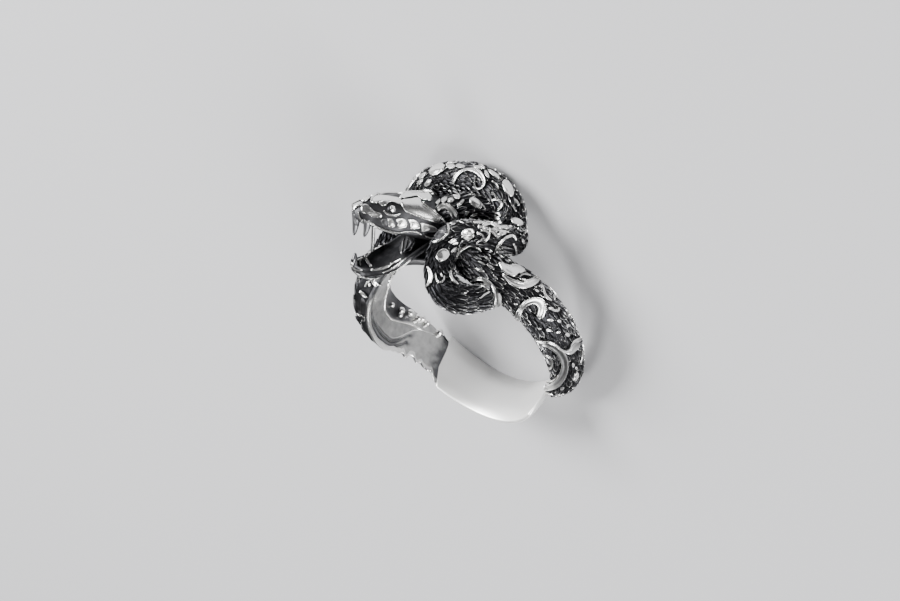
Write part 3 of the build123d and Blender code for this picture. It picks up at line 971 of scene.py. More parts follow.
# Marks on the face, in picture points: plates, then lines
FACE_PLATES = [
    Plate(
        [(371.5, 203), (372.5, 199.3), (376.5, 196.8), (383, 196.3), (390, 197.2), (397, 198.3),
         (401.5, 200.5), (402.5, 205), (399, 204.3), (395.5, 202.8), (391.5, 202.3), (388, 203.6),
         (384.3, 206.3), (381, 205.6), (378, 203.3), (375, 203.8)],
        0.26, 1.0,
    ),
    Plate(
        [(400.5, 201), (405, 199.8), (411, 199.2), (416, 198.3), (420.3, 199), (420.8, 202.5), (425, 206),
         (430, 209.7), (435, 213.2), (439, 217), (441.3, 220.5), (440.5, 223), (436, 222.8), (430, 221.3),
         (424, 219.3), (417, 216.5), (411, 214.4), (406, 212), (402.8, 208.5), (401, 205)],
        0.28, 1.0,
    ),
    Plate(
        [(399, 198.8), (400, 196.2), (406, 194), (413, 192.4), (420, 192), (427, 192.7), (431.5, 195.3),
         (432.3, 198.3), (430.5, 201.5), (426.5, 200.6), (422, 200.6), (418, 197.3), (412, 197.6),
         (406, 198.6)],
        0.24, 1.0,
    ),
    Plate(
        [(361, 208), (362.8, 205), (366, 204.4), (369.3, 206.7), (372.5, 209.8), (376, 211.8), (380, 213),
         (382.6, 215.6), (381, 217.4), (376, 217.4), (372, 216.8), (368.8, 214.3), (365, 213.5),
         (362, 211.3)],
        0.26, 1.0,
    ),
    Plate(
        [(352.3, 207.3), (354, 205.3), (358, 203.5), (362, 202.8), (362.8, 204.2), (359.5, 206.3),
         (356, 208.2), (353.8, 210.3)],
        0.22, 0.95,
    ),
    Plate(
        [(361, 201.6), (363.6, 198.8), (367.8, 196.3), (370.6, 195.6), (371.2, 197.4), (368.8, 200),
         (364.6, 202.2)],
        0.24, 1.0,
    ),
    Plate(
        [(371.5, 195.5), (373, 193), (376.5, 192.3), (381, 193.5), (385, 195.3), (381, 195.6), (376, 195.6),
         (372.8, 197.5)],
        0.2, 1.0,
    ),
    Plate(
        [(381.5, 219.8), (385, 218.4), (387.1, 219.5), (387.2, 225), (384.5, 225.4), (382.3, 224.3)],
        0.16, 0.4,
    ),
    Plate(
        [(387.9, 218.7), (391, 218.1), (393.2, 220.5), (394.8, 225.9), (392.6, 227.3), (388.8, 226.5),
         (388.1, 222.5)],
        0.26, 1.0,
    ),
    Plate(
        [(395.9, 219.7), (399, 218.1), (404.4, 218.6), (406.6, 221.5), (406.6, 226.3), (403, 228),
         (397.6, 227.5), (397.4, 223)],
        0.26, 0.95,
    ),
    Plate(
        [(408.1, 219.4), (412.5, 219), (416.6, 220.8), (419, 224.5), (420, 228), (415.5, 229),
         (410.3, 228.4), (410, 223.5)],
        0.26, 0.95,
    ),
    Plate(
        [(420.7, 222.3), (425, 223), (431, 225.2), (436.5, 228.5), (437.3, 231.4), (432, 232.3),
         (426, 232.2), (421.7, 231.2), (420.7, 226.5)],
        0.24, 0.75,
    ),
    Plate(
        [(390.8, 206.2), (393.5, 206), (395.6, 208.5), (395.3, 211.3), (392.5, 211.8), (391, 209.5)],
        0.08, 1.0,
    ),
]
FACE_LINES = [
    Stroke(
        [(359, 211), (359.3, 216), (361.5, 219.7), (366, 221.3), (370.5, 222.8), (375, 225.5), (381, 228.3),
         (387, 230.3), (393, 231.8), (399, 232.3), (406, 231.7), (413, 231.7), (418, 232.7), (422, 235.3)],
        (0.5, 0.7, 0.7, 0.6, 0.9, 0.9, 0.8, 0.7, 0.7, 0.7, 0.5, 0.4, 0.6, 0.5), 0.2, 1.0,
    ),
    Stroke([(425, 236), (429, 237.3), (432, 237.8), (436, 236)], (0.4, 0.6, 0.6, 0.4), 0.18, 0.7),
    Stroke(
        [(383.5, 210.7), (387, 213.5), (392, 215.3), (397, 215), (401, 213.2)],
        (0.5, 0.8, 1.0, 0.9, 0.5), 0.2, 1.0,
    ),
    Stroke([(371, 203), (372.3, 199), (376, 196.3), (381, 195.9)], (0.5, 0.7, 0.7, 0.4), 0.34, 1.0),
]
# Marks on the lower jaw and on the fold, in picture points
JAW_LINES = [
    Stroke(
        [(371, 269.8), (376, 270), (382, 268.8), (389, 265.8), (395, 261.8), (400.5, 257)],
        (0.9, 1.0, 1.0, 0.9, 0.8, 0.6), 0.18, 1.0,
    ),
    Stroke([(383, 272.5), (392, 268.5), (400, 263.3), (406.5, 258.3)], (0.5, 0.7, 0.7, 0.5), 0.16, 0.95),
    Stroke([(386, 275), (395, 271), (404, 265), (411, 259)], (0.5, 0.7, 0.7, 0.5), 0.14, 0.8),
    Stroke([(351.8, 266), (354, 262.5), (358, 259.5), (363, 257.3)], (0.8, 1.0, 0.8, 0.6), 0.2, 1.0),
    Stroke([(352, 266), (354, 269), (358, 270.7), (363, 269.8)], (0.7, 0.8, 0.7, 0.5), 0.18, 0.9),
    Stroke([(365, 257), (367.5, 262), (371, 267), (374, 270)], (1.0, 1.4, 1.2, 0.8), 0.2, 1.0),
    Stroke([(361.5, 258.5), (359.5, 262.5), (360.5, 266)], (0.6, 0.9, 0.6), 0.16, 0.9),
    Stroke(
        [(364, 257), (369, 253.2), (374, 250.2), (380, 247.3), (386, 244.2)],
        (1.0, 1.2, 1.2, 0.9, 0.5), 0.22, 1.0,
    ),
    Stroke(
        [(354, 271.5), (360, 275.5), (366, 277.5), (372, 278), (380, 277)],
        (0.5, 0.7, 0.7, 0.6, 0.4), 0.14, 0.75,
    ),
]
FOLD_LINES = [
    Stroke([(404.5, 237), (403.3, 243), (402.6, 249), (400.8, 255.5)], (0.35, 0.5, 0.5, 0.35), 0.12, 0.6),
    Stroke([(408.5, 238), (407, 245), (404.3, 253)], (0.3, 0.4, 0.3), 0.1, 0.35),
    Stroke([(415, 241), (411.5, 248), (406.5, 256.5)], (0.35, 0.45, 0.35), 0.12, 0.5),
    Stroke([(420, 243), (415.5, 249), (411, 255.5)], (0.3, 0.4, 0.3), 0.1, 0.4),
]

head_x = unit(HEAD_FORWARD)
head_z = unit(HEAD_UP - head_x * HEAD_UP.dot(head_x))
HEAD = np.array([head_x, np.cross(head_z, head_x), head_z]).T
skull_rows = np.array(SKULL)
skull_x = skull_rows[:, 0]


def from_head(points):
    """Head coordinates to the ring's own frame, mm."""
    return np.asarray(points) @ HEAD.T + HEAD_PLACE


def skull_at(x):
    """Skull sizes at places along the head, smoothly between the sections."""
    rows = natural_spline(skull_x, skull_rows, np.clip(x, skull_x[0], skull_x[-1]))
    return Skull(*rows.T)


def round_skull(table, ring):
    """Smooth curve through the six outline points of each section, read at places round it."""
    low = np.clip(np.floor(ring).astype(int), 0, 4)
    t = ring - low
    before, start, end, after = (table[np.clip(low + k, 0, 5), np.arange(len(ring))] for k in (-1, 0, 1, 2))
    square = (2 * before - 5 * start + 4 * end - after) * t**2
    cube = (3 * start - before - 3 * end + after) * t**3
    return 0.5 * ((2 * start) + (end - before) * t + square + cube)


def skull_point(x, ring, flank):
    """Points of the skull's skin. Round it, 0 is the middle of the palate, 1 the lip, 2 the cheek, 3 the
    brow, 4 the crown's edge and 5 its middle."""
    x, ring = x.ravel(), ring.ravel()
    s = skull_at(x)
    y = np.stack([0 * x, s.jaw_half * 0.97, s.jaw_half, s.brow_half, s.crown_half, 0 * x])
    z = np.stack([s.lip + 0.25, s.lip, s.cheek, s.brow, s.crown, s.crown + 0.12])
    return np.stack([x, flank * round_skull(y, ring), round_skull(z, ring)], -1)


def skull_shell():
    """Skin of the skull."""
    x = np.linspace(skull_x[0], skull_x[-1], SKULL_STATIONS)
    grid_x, grid_ring = np.meshgrid(x, np.linspace(0, 5, SKULL_HALF), indexing="ij")
    near, far = (skull_point(grid_x, grid_ring, flank).reshape(*grid_x.shape, 3) for flank in (1, -1))
    shell = np.concatenate([near, far[:, 1:-1][:, ::-1]], 1)
    points = from_head(shell.reshape(-1, 3))
    return points, np.full(len(points), SKULL_POLISH), grid_faces(SKULL_STATIONS, 2 * SKULL_HALF - 2)


def both_flanks(part):
    """A part of the head's near flank and its mirror image on the far one; one on the middle stays single."""
    points, polish, faces = part
    placed = (points - HEAD_PLACE) @ HEAD
    if placed[:, 1].mean() < MIDDLE_WIDTH:
        return [part]
    return [part, (from_head(placed * np.array((1, -1, 1))), polish, faces)]


def jaw_shell():
    """Lower jaw as one skin: outside with throat plates under it, rounded rim, and the scooped inside."""
    rows = np.array(LOWER_JAW)
    x = np.linspace(rows[0, 0], rows[-1, 0], JAW_STATIONS)
    j = Jaw(*natural_spline(rows[:, 0], rows, x).T)
    floor = np.minimum(j.keel + JAW_FLOOR, j.rim - 0.08)
    inside = np.clip(j.rim_half - JAW_WALL, 0.1, None)
    middle = (j.rim + j.keel) / 2
    step = (x / THROAT_PLATE) % 1
    groove = np.clip(1 - np.minimum(step, 1 - step) / 0.2, 0, 1)
    cut = THROAT_GROOVE * groove - 0.03
    # Half of each section from the keel over the rim to the floor: side, height and polish
    half = [
        (0 * x, j.keel - 0.05 + cut, 0.12),
        (j.keel_half * 0.75, j.keel + cut, 0.14),
        (j.keel_half * 1.15, (j.keel + middle) / 2 + 0.6 * cut, 0.14),
        (j.rim_half, middle, 0.14),
        (j.rim_half + 0.05, j.rim - 0.2, 0.14),
        (j.rim_half - 0.02, j.rim, 0.16),
        (j.rim_half - JAW_WALL * 0.5, j.rim + 0.08, 0.16),
        (inside, j.rim, 0.14),
        (inside - 0.05, j.rim - 0.3, 0.1),
        (inside * 0.75, (floor + j.rim) / 2 - 0.1, 0.08),
        (inside * 0.4, floor, 0.06),
        (0 * x, floor, 0.06),
    ]
    near = np.stack([np.stack([x, y, z], -1) for y, z, _ in half], 1)
    far = near[:, 1:-1][:, ::-1] * np.array((1, -1, 1))
    shell = np.concatenate([near, far], 1)
    shell[..., 2] -= JAW_ROLL * shell[..., 1]
    count = shell.shape[1]
    tones = [tone for _, _, tone in half]
    from_keel = np.minimum(np.arange(count), count - np.arange(count))
    plates = 0.32 * (1 - groove)[:, None] * (np.sin(pi * step)[:, None] ** 2) - 0.06
    polish = np.tile(tones + tones[1:-1][::-1], (len(x), 1)) + (from_keel < 3) * plates
    return from_head(shell.reshape(-1, 3)), polish.ravel(), grid_faces(len(x), count)


def fang(f):
    """Curved tooth, tapering to a point."""
    share = np.linspace(0, 1, FANG_STEPS)
    x = f.x - f.lean * 1.6 * share**2 + f.lean * 0.6 * share
    line = np.stack([x, np.full(FANG_STEPS, f.y), f.root + (f.tip - f.root) * share], -1)
    widths = FANG_WIDTH * abs(f.tip - f.root) ** 0.5 * (1 - share) ** 0.6 + 0.08
    points, polish, faces = cord(line, widths, np.tile((0.0, 1.0, 0.0), (FANG_STEPS, 1)), FANG_POLISH)
    return from_head(points), polish, faces


def mouth_fold():
    """Wrinkled fold of skin between the jaws at the back of the mouth."""
    outline = curve(FOLD_OUTLINE, FOLD_STEPS, closed=True)
    middle = outline.mean(0)
    rows = []
    for half in np.linspace(-1, 1, FOLD_ROWS):
        squeeze = (1 - abs(half) ** 4) ** 0.5 * 0.25 + 0.75
        ripple = 1 + 0.03 * np.sin(outline[:, 1] * 14 + half * 3)
        ring = middle + (outline - middle) * (squeeze * ripple)[:, None]
        rows.append(np.stack([ring[:, 0], np.full(FOLD_STEPS, half * FOLD_HALF), ring[:, 1]], -1))
    points = from_head(np.vstack(rows))
    return points, np.full(len(points), FOLD_POLISH), grid_faces(FOLD_ROWS, FOLD_STEPS)


def strut():
    """Thin bar between the jaws, a little thinner at its ends."""
    line = curve(STRUT, STRUT_STEPS)
    share = np.linspace(0, 1, STRUT_STEPS)
    widths = STRUT_RADIUS * (STRUT_TIP + (1 - STRUT_TIP) * np.sin(pi * share) ** 0.6)
    points, polish, faces = cord(line, widths, unit(line - np.array((0.6, 0.0, 1.2))), STRUT_POLISH)
    return from_head(points), polish, faces


skull, jaw, fold = skull_shell(), jaw_shell(), mouth_fold()
place, normal, _ = Drape([skull]).lay(EYE)
eyeball = ball(place - normal * EYE_RADIUS * EYE_SUNK, EYE_RADIUS, EYE_POLISH)
face_skin, jaw_skin, fold_skin = Drape([skull, eyeball]), Drape([jaw]), Drape([fold])
head_parts = [skull]
for part in [eyeball] + [face_skin.plate(p) for p in FACE_PLATES] + [face_skin.stroke(s) for s in FACE_LINES]:
    head_parts += both_flanks(part)
head_parts += [jaw] + [jaw_skin.stroke(s) for s in JAW_LINES]
head_parts += [fang(f) for f in FANGS]
head_parts += [fold] + [fold_skin.stroke(s) for s in FOLD_LINES]
head_parts.append(strut())
mesh_piece("head", join(head_parts), cast)


# Marks on the body, in picture points: lines with half widths along them, then outlines of plates
ARCHES = [
    Stroke(
        [(454, 183), (456.5, 177.5), (461, 173), (467, 170.5), (473, 170.8), (479, 173.5), (483, 178),
         (484.7, 183), (483, 187), (479.5, 188.3), (476.3, 186.5), (475.3, 182), (475.5, 176.5)],
        (1.7, 1.5, 1.3, 1.4, 1.9, 2.4, 1.9, 1.2, 0.9, 0.7, 0.7, 0.6, 0.5), 0.24, 1.0,
    ),
    Stroke([(481, 204), (484, 207), (485, 211)], (0.6, 0.7, 0.4), 0.16, 0.9),
    Stroke(
        [(491.5, 200.5), (496, 199.3), (500, 201), (502, 204.5), (501, 208), (498, 211)],
        (0.7, 1.0, 1.1, 1.2, 1.0, 0.7), 0.24, 1.0,
    ),
    Stroke(
        [(495, 212.5), (499, 213), (501, 215.5), (497, 217), (495, 215)],
        (0.7, 0.7, 0.7, 0.7, 0.6), 0.2, 0.9,
    ),
    Stroke([(464, 221), (474, 219.9), (483, 220.2), (489, 221)], (0.6, 1.2, 1.2, 1.0), 0.26, 1.0),
    Stroke([(473, 223.2), (479, 224), (484.5, 223.8)], (0.6, 1.0, 0.7), 0.2, 0.9),
    Stroke(
        [(478, 227.8), (484, 227), (489, 224.3), (494, 226.2), (499, 228.6), (506, 228)],
        (1.0, 1.3, 1.5, 1.3, 1.2, 0.8), 0.26, 1.0,
    ),
    Stroke([(490, 222), (495, 222), (499, 223), (503.5, 222.5)], (0.9, 1.0, 1.6, 1.5), 0.24, 1.0),
    Stroke([(502, 224), (503, 229)], (0.9, 0.8), 0.2, 1.0),
    Stroke(
        [(477, 233.5), (481, 234), (484, 236.5), (486, 239.7), (489, 237.5), (489.3, 234), (486, 231.5),
         (481, 231)],
        (1.1, 0.9, 0.8, 0.9, 0.9, 1.0, 0.8, 0.5), 0.24, 1.0,
    ),
    Stroke(
        [(489, 232), (493, 232), (497, 235.5), (502, 233.5), (506, 232)],
        (1.2, 1.5, 1.9, 1.3, 0.8), 0.26, 0.95,
    ),
    Stroke([(489, 229.5), (497, 230.5), (502, 231.5)], (0.8, 1.1, 0.9), 0.2, 0.9),
    Stroke(
        [(438, 211.5), (441.5, 208.3), (446.3, 207), (450.5, 209.5), (453.7, 214), (457, 219)],
        (0.9, 1.4, 1.9, 2.6, 3.1, 2.0), 0.26, 0.7,
    ),
    Stroke(
        [(437, 210), (441, 206.7), (446, 205.2), (451, 206.6), (455.5, 210.3), (459, 217)],
        (0.5, 0.6, 0.7, 0.7, 0.7, 0.5), 0.36, 1.0,
    ),
    Stroke(
        [(420, 191), (424, 189.5), (429, 189.3), (434, 190.8), (438, 193.5)],
        (0.6, 0.8, 0.8, 0.8, 0.5), 0.22, 0.9,
    ),
    Stroke(
        [(408, 193.3), (412, 185), (417, 179), (422, 173.7), (428.8, 168.4), (436.3, 165.2), (443, 164.6)],
        (0.8, 1.1, 1.2, 1.2, 1.2, 1.1, 0.8), 0.22, 1.0,
    ),
    Stroke(
        [(446.5, 166.5), (452, 164.3), (460, 162.8), (468, 162.7), (476, 164.2), (482, 167.7), (485, 170.4)],
        (0.7, 1.1, 1.2, 1.2, 1.2, 1.1, 0.7), 0.22, 1.0,
    ),
    Stroke(
        [(456, 261), (458, 256), (462, 251), (467, 248), (472, 246.8), (477, 249), (481, 253)],
        (0.8, 1.1, 1.2, 1.1, 1.1, 0.9, 0.5), 0.28, 1.0,
    ),
    Stroke(
        [(495, 252), (498, 245.5), (502, 240.5), (507, 237.2), (512, 236.5), (515, 241)],
        (0.8, 1.2, 1.3, 1.3, 1.1, 0.6), 0.26, 0.95,
    ),
    Stroke(
        [(512, 243), (515, 248), (515.5, 254), (512, 259.5), (506, 262), (499, 260), (495, 255)],
        (0.6, 0.9, 0.9, 0.9, 0.8, 0.8, 0.6), 0.2, 0.75,
    ),
    Stroke(
        [(428.2, 266), (431, 271), (432.3, 277), (431.2, 282), (427.7, 286.5)],
        (0.6, 1.3, 1.7, 1.5, 0.7), 0.28, 1.0,
    ),
    Stroke([(428, 287), (425.5, 293), (426, 300), (430, 305.5)], (0.6, 0.8, 0.8, 0.5), 0.2, 0.7),
    Stroke(
        [(452.5, 268.3), (449.6, 272), (450, 277), (453, 282), (457.5, 285.3)],
        (0.6, 1.0, 1.1, 0.9, 0.5), 0.26, 1.0,
    ),
    Stroke(
        [(436.3, 273), (437, 279.5), (440, 283), (443.3, 281.5), (444, 276)],
        (0.5, 0.7, 0.8, 0.8, 0.5), 0.24, 0.95,
    ),
    Stroke([(440.7, 273), (441.8, 277.5)], (0.9, 1.0), 0.2, 1.0),
    Stroke(
        [(471.5, 280.7), (476, 278.6), (481, 278.2), (486, 279.7), (490, 283.3), (493.5, 288), (495.5, 293),
         (496.3, 300), (496, 308.5)],
        (0.6, 1.1, 1.6, 2.1, 2.5, 2.9, 3.5, 3.7, 3.5), 0.34, 0.82,
    ),
    Stroke([(475, 282.5), (480, 284.5), (485, 288), (489.5, 290.5)], (0.7, 1.3, 1.5, 1.2), 0.22, 0.6),
    Stroke([(479, 299), (484, 295), (490, 292)], (0.6, 0.8, 0.7), 0.2, 0.9),
    Stroke(
        [(502, 274), (508, 279.7), (515, 283.7), (523, 285.8), (531, 284), (535.6, 280.7), (533, 277)],
        (0.8, 2.2, 3.2, 3.3, 3.1, 2.5, 1.2), 0.34, 1.0,
    ),
    Stroke([(519, 279.6), (524, 281.6), (530, 281), (533.5, 278.3)], (0.5, 0.8, 0.8, 0.6), 0.42, 1.0),
    Stroke([(518.5, 278.5), (521.5, 275.6), (526.5, 275.6), (530.5, 277.3)], (0.4, 0.5, 0.6, 0.4), 0.2, 0.8),
    Stroke(
        [(520, 320.5), (519.3, 314), (522, 307), (527, 302), (534, 300.7), (540, 304.3), (541, 311),
         (538.3, 318)],
        (3.0, 3.0, 2.7, 2.9, 3.2, 3.7, 3.9, 3.2), 0.36, 0.8,
    ),
    Stroke(
        [(518.7, 310), (523, 303.2), (528, 299.2), (534, 298), (540, 299.8), (543.3, 304.5), (544.3, 311)],
        (0.5, 0.6, 0.7, 0.8, 0.7, 0.7, 0.5), 0.44, 1.0,
    ),
    Stroke(
        [(537, 287), (540, 286.8), (543, 293), (546, 298), (551, 301.5)],
        (0.5, 1.0, 0.9, 1.4, 0.6), 0.24, 0.95,
    ),
    Stroke(
        [(548, 287.5), (553, 288.3), (557, 293), (560, 300), (563, 308), (567.5, 314), (573, 321),
         (577, 326)],
        (0.9, 1.6, 2.3, 1.8, 1.4, 1.4, 1.0, 0.5), 0.30, 1.0,
    ),
    Stroke([(561.5, 296.8), (565, 300.5), (569, 306.5)], (0.8, 1.5, 0.8), 0.26, 1.0),
    Stroke([(547.5, 307.5), (551.5, 309.7), (556.5, 310.8), (557.5, 307)], (1.3, 1.0, 1.1, 0.8), 0.24, 1.0),
    Stroke(
        [(537, 338), (543, 339.2), (548, 339.4), (554, 342), (560, 347), (565, 349.5), (568.3, 348),
         (571.5, 343), (575, 340), (579, 338.3)],
        (0.6, 0.9, 0.9, 0.9, 0.9, 1.1, 1.1, 1.3, 1.8, 0.9), 0.42, 1.0,
    ),
    Stroke(
        [(541, 341.5), (548, 342.8), (554, 346), (559.5, 351), (563, 357), (564.5, 365), (562.5, 374),
         (557, 382.5), (550, 387), (542.5, 388.5)],
        (1.4, 2.4, 2.9, 3.4, 3.6, 3.2, 3.4, 3.4, 2.7, 1.4), 0.34, 0.66,
    ),
    Stroke([(565, 352), (569, 350), (573.5, 345.5), (578, 342)], (2.4, 3.2, 3.6, 2.4), 0.32, 0.7),
    Stroke(
        [(544, 353.5), (549, 355.2), (552.6, 360), (552.6, 366), (548.7, 369.8)],
        (0.7, 0.9, 0.9, 0.9, 0.6), 0.22, 0.8,
    ),
    Stroke([(543, 383), (549, 381.8), (555, 378.5), (559, 373.5)], (0.6, 0.7, 0.8, 0.5), 0.3, 0.9),
    Stroke([(581.5, 350), (580.8, 357), (578.5, 364)], (0.6, 0.9, 0.5), 0.2, 0.8),
    Stroke([(576, 371), (575.3, 375), (572.3, 380)], (1.3, 1.5, 0.8), 0.26, 1.0),
    Stroke(
        [(545, 391), (551, 393), (557, 394.3), (563, 392.6), (569, 389.5)],
        (0.5, 0.8, 0.9, 0.8, 0.5), 0.2, 0.9,
    ),
    Stroke(
        [(517, 210), (521, 210), (524, 214.5), (526, 221.5), (527.5, 230), (527.5, 238), (525.5, 243)],
        (0.6, 1.1, 1.2, 1.0, 0.8, 0.7, 0.5), 0.26, 1.0,
    ),
    Stroke(
        [(422, 203), (430, 208.8), (436, 212.9), (441.5, 217.5), (444, 220.5), (446, 222.8)],
        (0.5, 0.6, 0.7, 0.8, 1.0, 0.9), 0.3, 1.0,
    ),
    Stroke(
        [(447.8, 223.8), (450, 227.7), (449.5, 232), (446, 236.7), (442, 240), (437.5, 243), (433.5, 243.5)],
        (0.8, 1.0, 1.0, 0.9, 0.8, 0.6, 0.4), 0.36, 1.0,
    ),
    Stroke([(491.5, 181.7), (495.7, 184.3), (498.8, 189.6)], (0.5, 0.8, 0.5), 0.24, 0.9),
    Stroke([(492, 191.8), (494.5, 194.3), (497, 198)], (0.5, 0.7, 0.5), 0.24, 0.9),
    Stroke([(503.8, 200), (505.8, 203), (507, 206)], (0.4, 0.6, 0.4), 0.22, 0.85),
    Stroke([(513.8, 199), (516.2, 202.5), (518, 206.5)], (0.6, 0.9, 0.6), 0.22, 0.95),
    Stroke([(511.8, 205), (513.8, 208.3), (515.4, 212)], (0.6, 0.9, 0.6), 0.22, 0.95),
    Stroke([(366, 287), (367.3, 283), (371, 280)], (0.6, 0.9, 0.7), 0.2, 0.8),
    Stroke([(361, 289.7), (364, 293.8), (368, 297.2)], (0.8, 1.7, 1.0), 0.26, 1.0),
    Stroke([(356.5, 311), (356.3, 318), (358, 324.5), (361.5, 327)], (0.6, 0.8, 0.8, 0.6), 0.2, 0.8),
]
SCUTES = [
    Plate(
        [(461.8, 235), (464, 231), (468, 229.3), (473, 229.7), (475.3, 232), (474.8, 233.2), (468, 233.4)],
        0.32, 1.0,
    ),
    Plate(
        [(462.3, 236), (467.5, 234.3), (474.8, 234.2), (474.3, 236.6), (471, 238.7), (466, 238.7)],
        0.28, 0.85,
    ),
    Plate(
        [(498, 263), (505, 265.7), (510, 266.7), (515, 266), (520, 268.5), (524.5, 272.3), (522.5, 274),
         (517.5, 274.7), (515, 277.3), (510, 276.5), (504, 273.3), (500, 268.3)],
        0.36, 1.0,
    ),
    Plate([(371.5, 279), (376.5, 278), (380.3, 284.5), (378, 286), (375.5, 285.7)], 0.28, 0.95),
    Plate(
        [(440.5, 229), (444.5, 225.8), (447.6, 224.8), (449.3, 229.5), (447, 234), (442.5, 238),
         (437.5, 241), (434.5, 239.7), (436.8, 234)],
        0.26, 0.12,
    ),
]
# Oval plates in picture points, turned in degrees from level, clockwise in the picture. Their shine is, as
# for the other marks, partly polish and partly painted shade.
Oval = namedtuple("Oval", "x y length width turn rise shine")
OVALS = [
    Oval(475.6, 203.6, 14.0, 7.6, 32, 0.30, 1.0),
    Oval(438.0, 170.6, 17.0, 8.8, -30, 0.28, 1.0),
    Oval(424.0, 176.2, 9.0, 2.8, -40, 0.22, 0.95),
    Oval(421.4, 182.1, 7.8, 3.2, -46, 0.22, 0.9),
    Oval(429.3, 182.7, 9.0, 4.2, -44, 0.24, 0.8),
    Oval(451.9, 167.4, 8.2, 4.2, -8, 0.24, 1.0),
    Oval(460.6, 166.5, 9.0, 4.4, 8, 0.24, 1.0),
    Oval(478.0, 168.3, 10.6, 2.6, 12, 0.20, 0.95),
    Oval(486.9, 175.2, 8.4, 2.8, 59, 0.24, 1.0),
    Oval(493.6, 175.2, 14.2, 3.2, 37, 0.22, 0.95),
    Oval(507.3, 189.2, 18.6, 7.6, 61, 0.30, 1.0),
    Oval(516.4, 222.7, 12.0, 7.4, 35, 0.30, 1.0),
    Oval(524.3, 231.3, 4.6, 1.9, 84, 0.18, 0.9),
    Oval(522.1, 241.6, 5.2, 2.2, 66, 0.18, 0.8),
    Oval(445.3, 200.3, 8.4, 4.2, -50, 0.28, 0.7),
    Oval(451.3, 201.5, 5.8, 3.6, -14, 0.28, 1.0),
    Oval(457.3, 197.7, 6.8, 5.0, 14, 0.28, 0.85),
    Oval(460.9, 203.7, 9.6, 2.8, -46, 0.26, 0.85),
    Oval(438.2, 202.8, 6.4, 3.6, -25, 0.26, 0.75),
    Oval(466.9, 212.6, 4.8, 3.0, -55, 0.20, 0.7),
    Oval(473.7, 214.5, 7.6, 2.2, -24, 0.20, 0.6),
    Oval(452.4, 240.6, 9.0, 3.0, -30, 0.26, 0.95),
    Oval(454.9, 242.5, 6.2, 2.1, -28, 0.24, 0.9),
    Oval(452.9, 249.4, 8.2, 3.0, -44, 0.26, 0.9),
    Oval(442.5, 255.7, 14.6, 10.4, -57, 0.34, 0.92),
    Oval(490.8, 267.2, 9.2, 2.8, 36, 0.24, 0.95),
    Oval(480.7, 270.1, 9.2, 2.8, 20, 0.24, 0.95),
    Oval(495.7, 277.2, 6.4, 1.9, 42, 0.22, 0.95),
    Oval(486.7, 259.0, 7.4, 1.8, 38, 0.22, 0.7),
    Oval(481.9, 263.3, 8.6, 1.8, 29, 0.20, 0.7),
    Oval(549.6, 319.6, 6.2, 2.2, 12, 0.22, 1.0),
    Oval(558.1, 320.8, 3.8, 3.2, 30, 0.22, 1.0),
    Oval(548.3, 329.2, 5.6, 2.1, 18, 0.22, 1.0),
    Oval(557.6, 331.5, 4.3, 2.5, -8, 0.22, 1.0),
    Oval(566.6, 334.3, 4.6, 3.5, 35, 0.24, 1.0),
    Oval(567.3, 325.5, 4.0, 2.2, 25, 0.20, 0.9),
    Oval(539.9, 327.7, 3.6, 1.9, 20, 0.20, 0.8),
    Oval(553.1, 297.9, 5.2, 2.1, 72, 0.22, 0.95),
    Oval(546.0, 287.5, 4.6, 2.3, 38, 0.22, 1.0),
    Oval(536.1, 291.0, 5.0, 1.9, 32, 0.20, 0.95),
    Oval(516.2, 303.3, 3.5, 1.8, 12, 0.20, 0.8),
    Oval(572.3, 364.1, 4.6, 2.5, 88, 0.20, 0.85),
    Oval(575.3, 367.3, 3.2, 1.9, 90, 0.20, 0.85),
    Oval(562.4, 387.3, 4.5, 2.2, -38, 0.20, 0.8),
    Oval(370.2, 284.6, 3.2, 2.5, 60, 0.22, 0.9),
    Oval(444.0, 231.4, 8.2, 5.6, -30, 0.34, 0.3),
    Oval(495.2, 230.9, 5.0, 3.4, 20, 0.24, 0.9),
    Oval(486.2, 229.5, 5.8, 3.0, 8, 0.24, 0.9),
    Oval(502.3, 233.2, 6.7, 4.2, 5, 0.24, 0.9),
    Oval(506.0, 228.2, 5.8, 4.2, 10, 0.24, 0.85),
    Oval(493.9, 225.8, 5.8, 3.2, 12, 0.26, 1.0),
    Oval(498.6, 218.5, 5.2, 2.9, 18, 0.22, 0.95),
]
OVAL_POINTS = 12
# Beads along the left shank's far edge: place in picture points and radius in mm
Bead = namedtuple("Bead", "x y radius")
BEADS = [
    Bead(392, 305.2, 0.30),
    Bead(401.5, 310.5, 0.38),
    Bead(400.3, 315, 0.30),
    Bead(410.5, 313.2, 0.42),
    Bead(418.5, 318, 0.44),
    Bead(422.5, 318.6, 0.38),
    Bead(427.5, 322.8, 0.34),
    Bead(441.5, 330.7, 0.44),
]
BEAD_RISE = 0.8
BEAD_POLISH = 0.95
# The body's marks rise by this factor more than their tables say
MARK_LIFT = 1.25


def oval_plate(oval):
    """Plate with an oval outline."""
    turn = radians(oval.turn)
    along = np.array((cos(turn), sin(turn))) * oval.length / 2
    beside = np.array((-sin(turn), cos(turn))) * oval.width / 2
    steps = np.linspace(0, 2 * pi, OVAL_POINTS, endpoint=False)
    outline = [np.array((oval.x, oval.y)) + along * cos(step) + beside * sin(step) for step in steps]
    return Plate(outline, oval.rise, oval.shine)


def lifted(mark):
    """A mark raised by the body's factor."""
    return mark._replace(rise=mark.rise * MARK_LIFT)


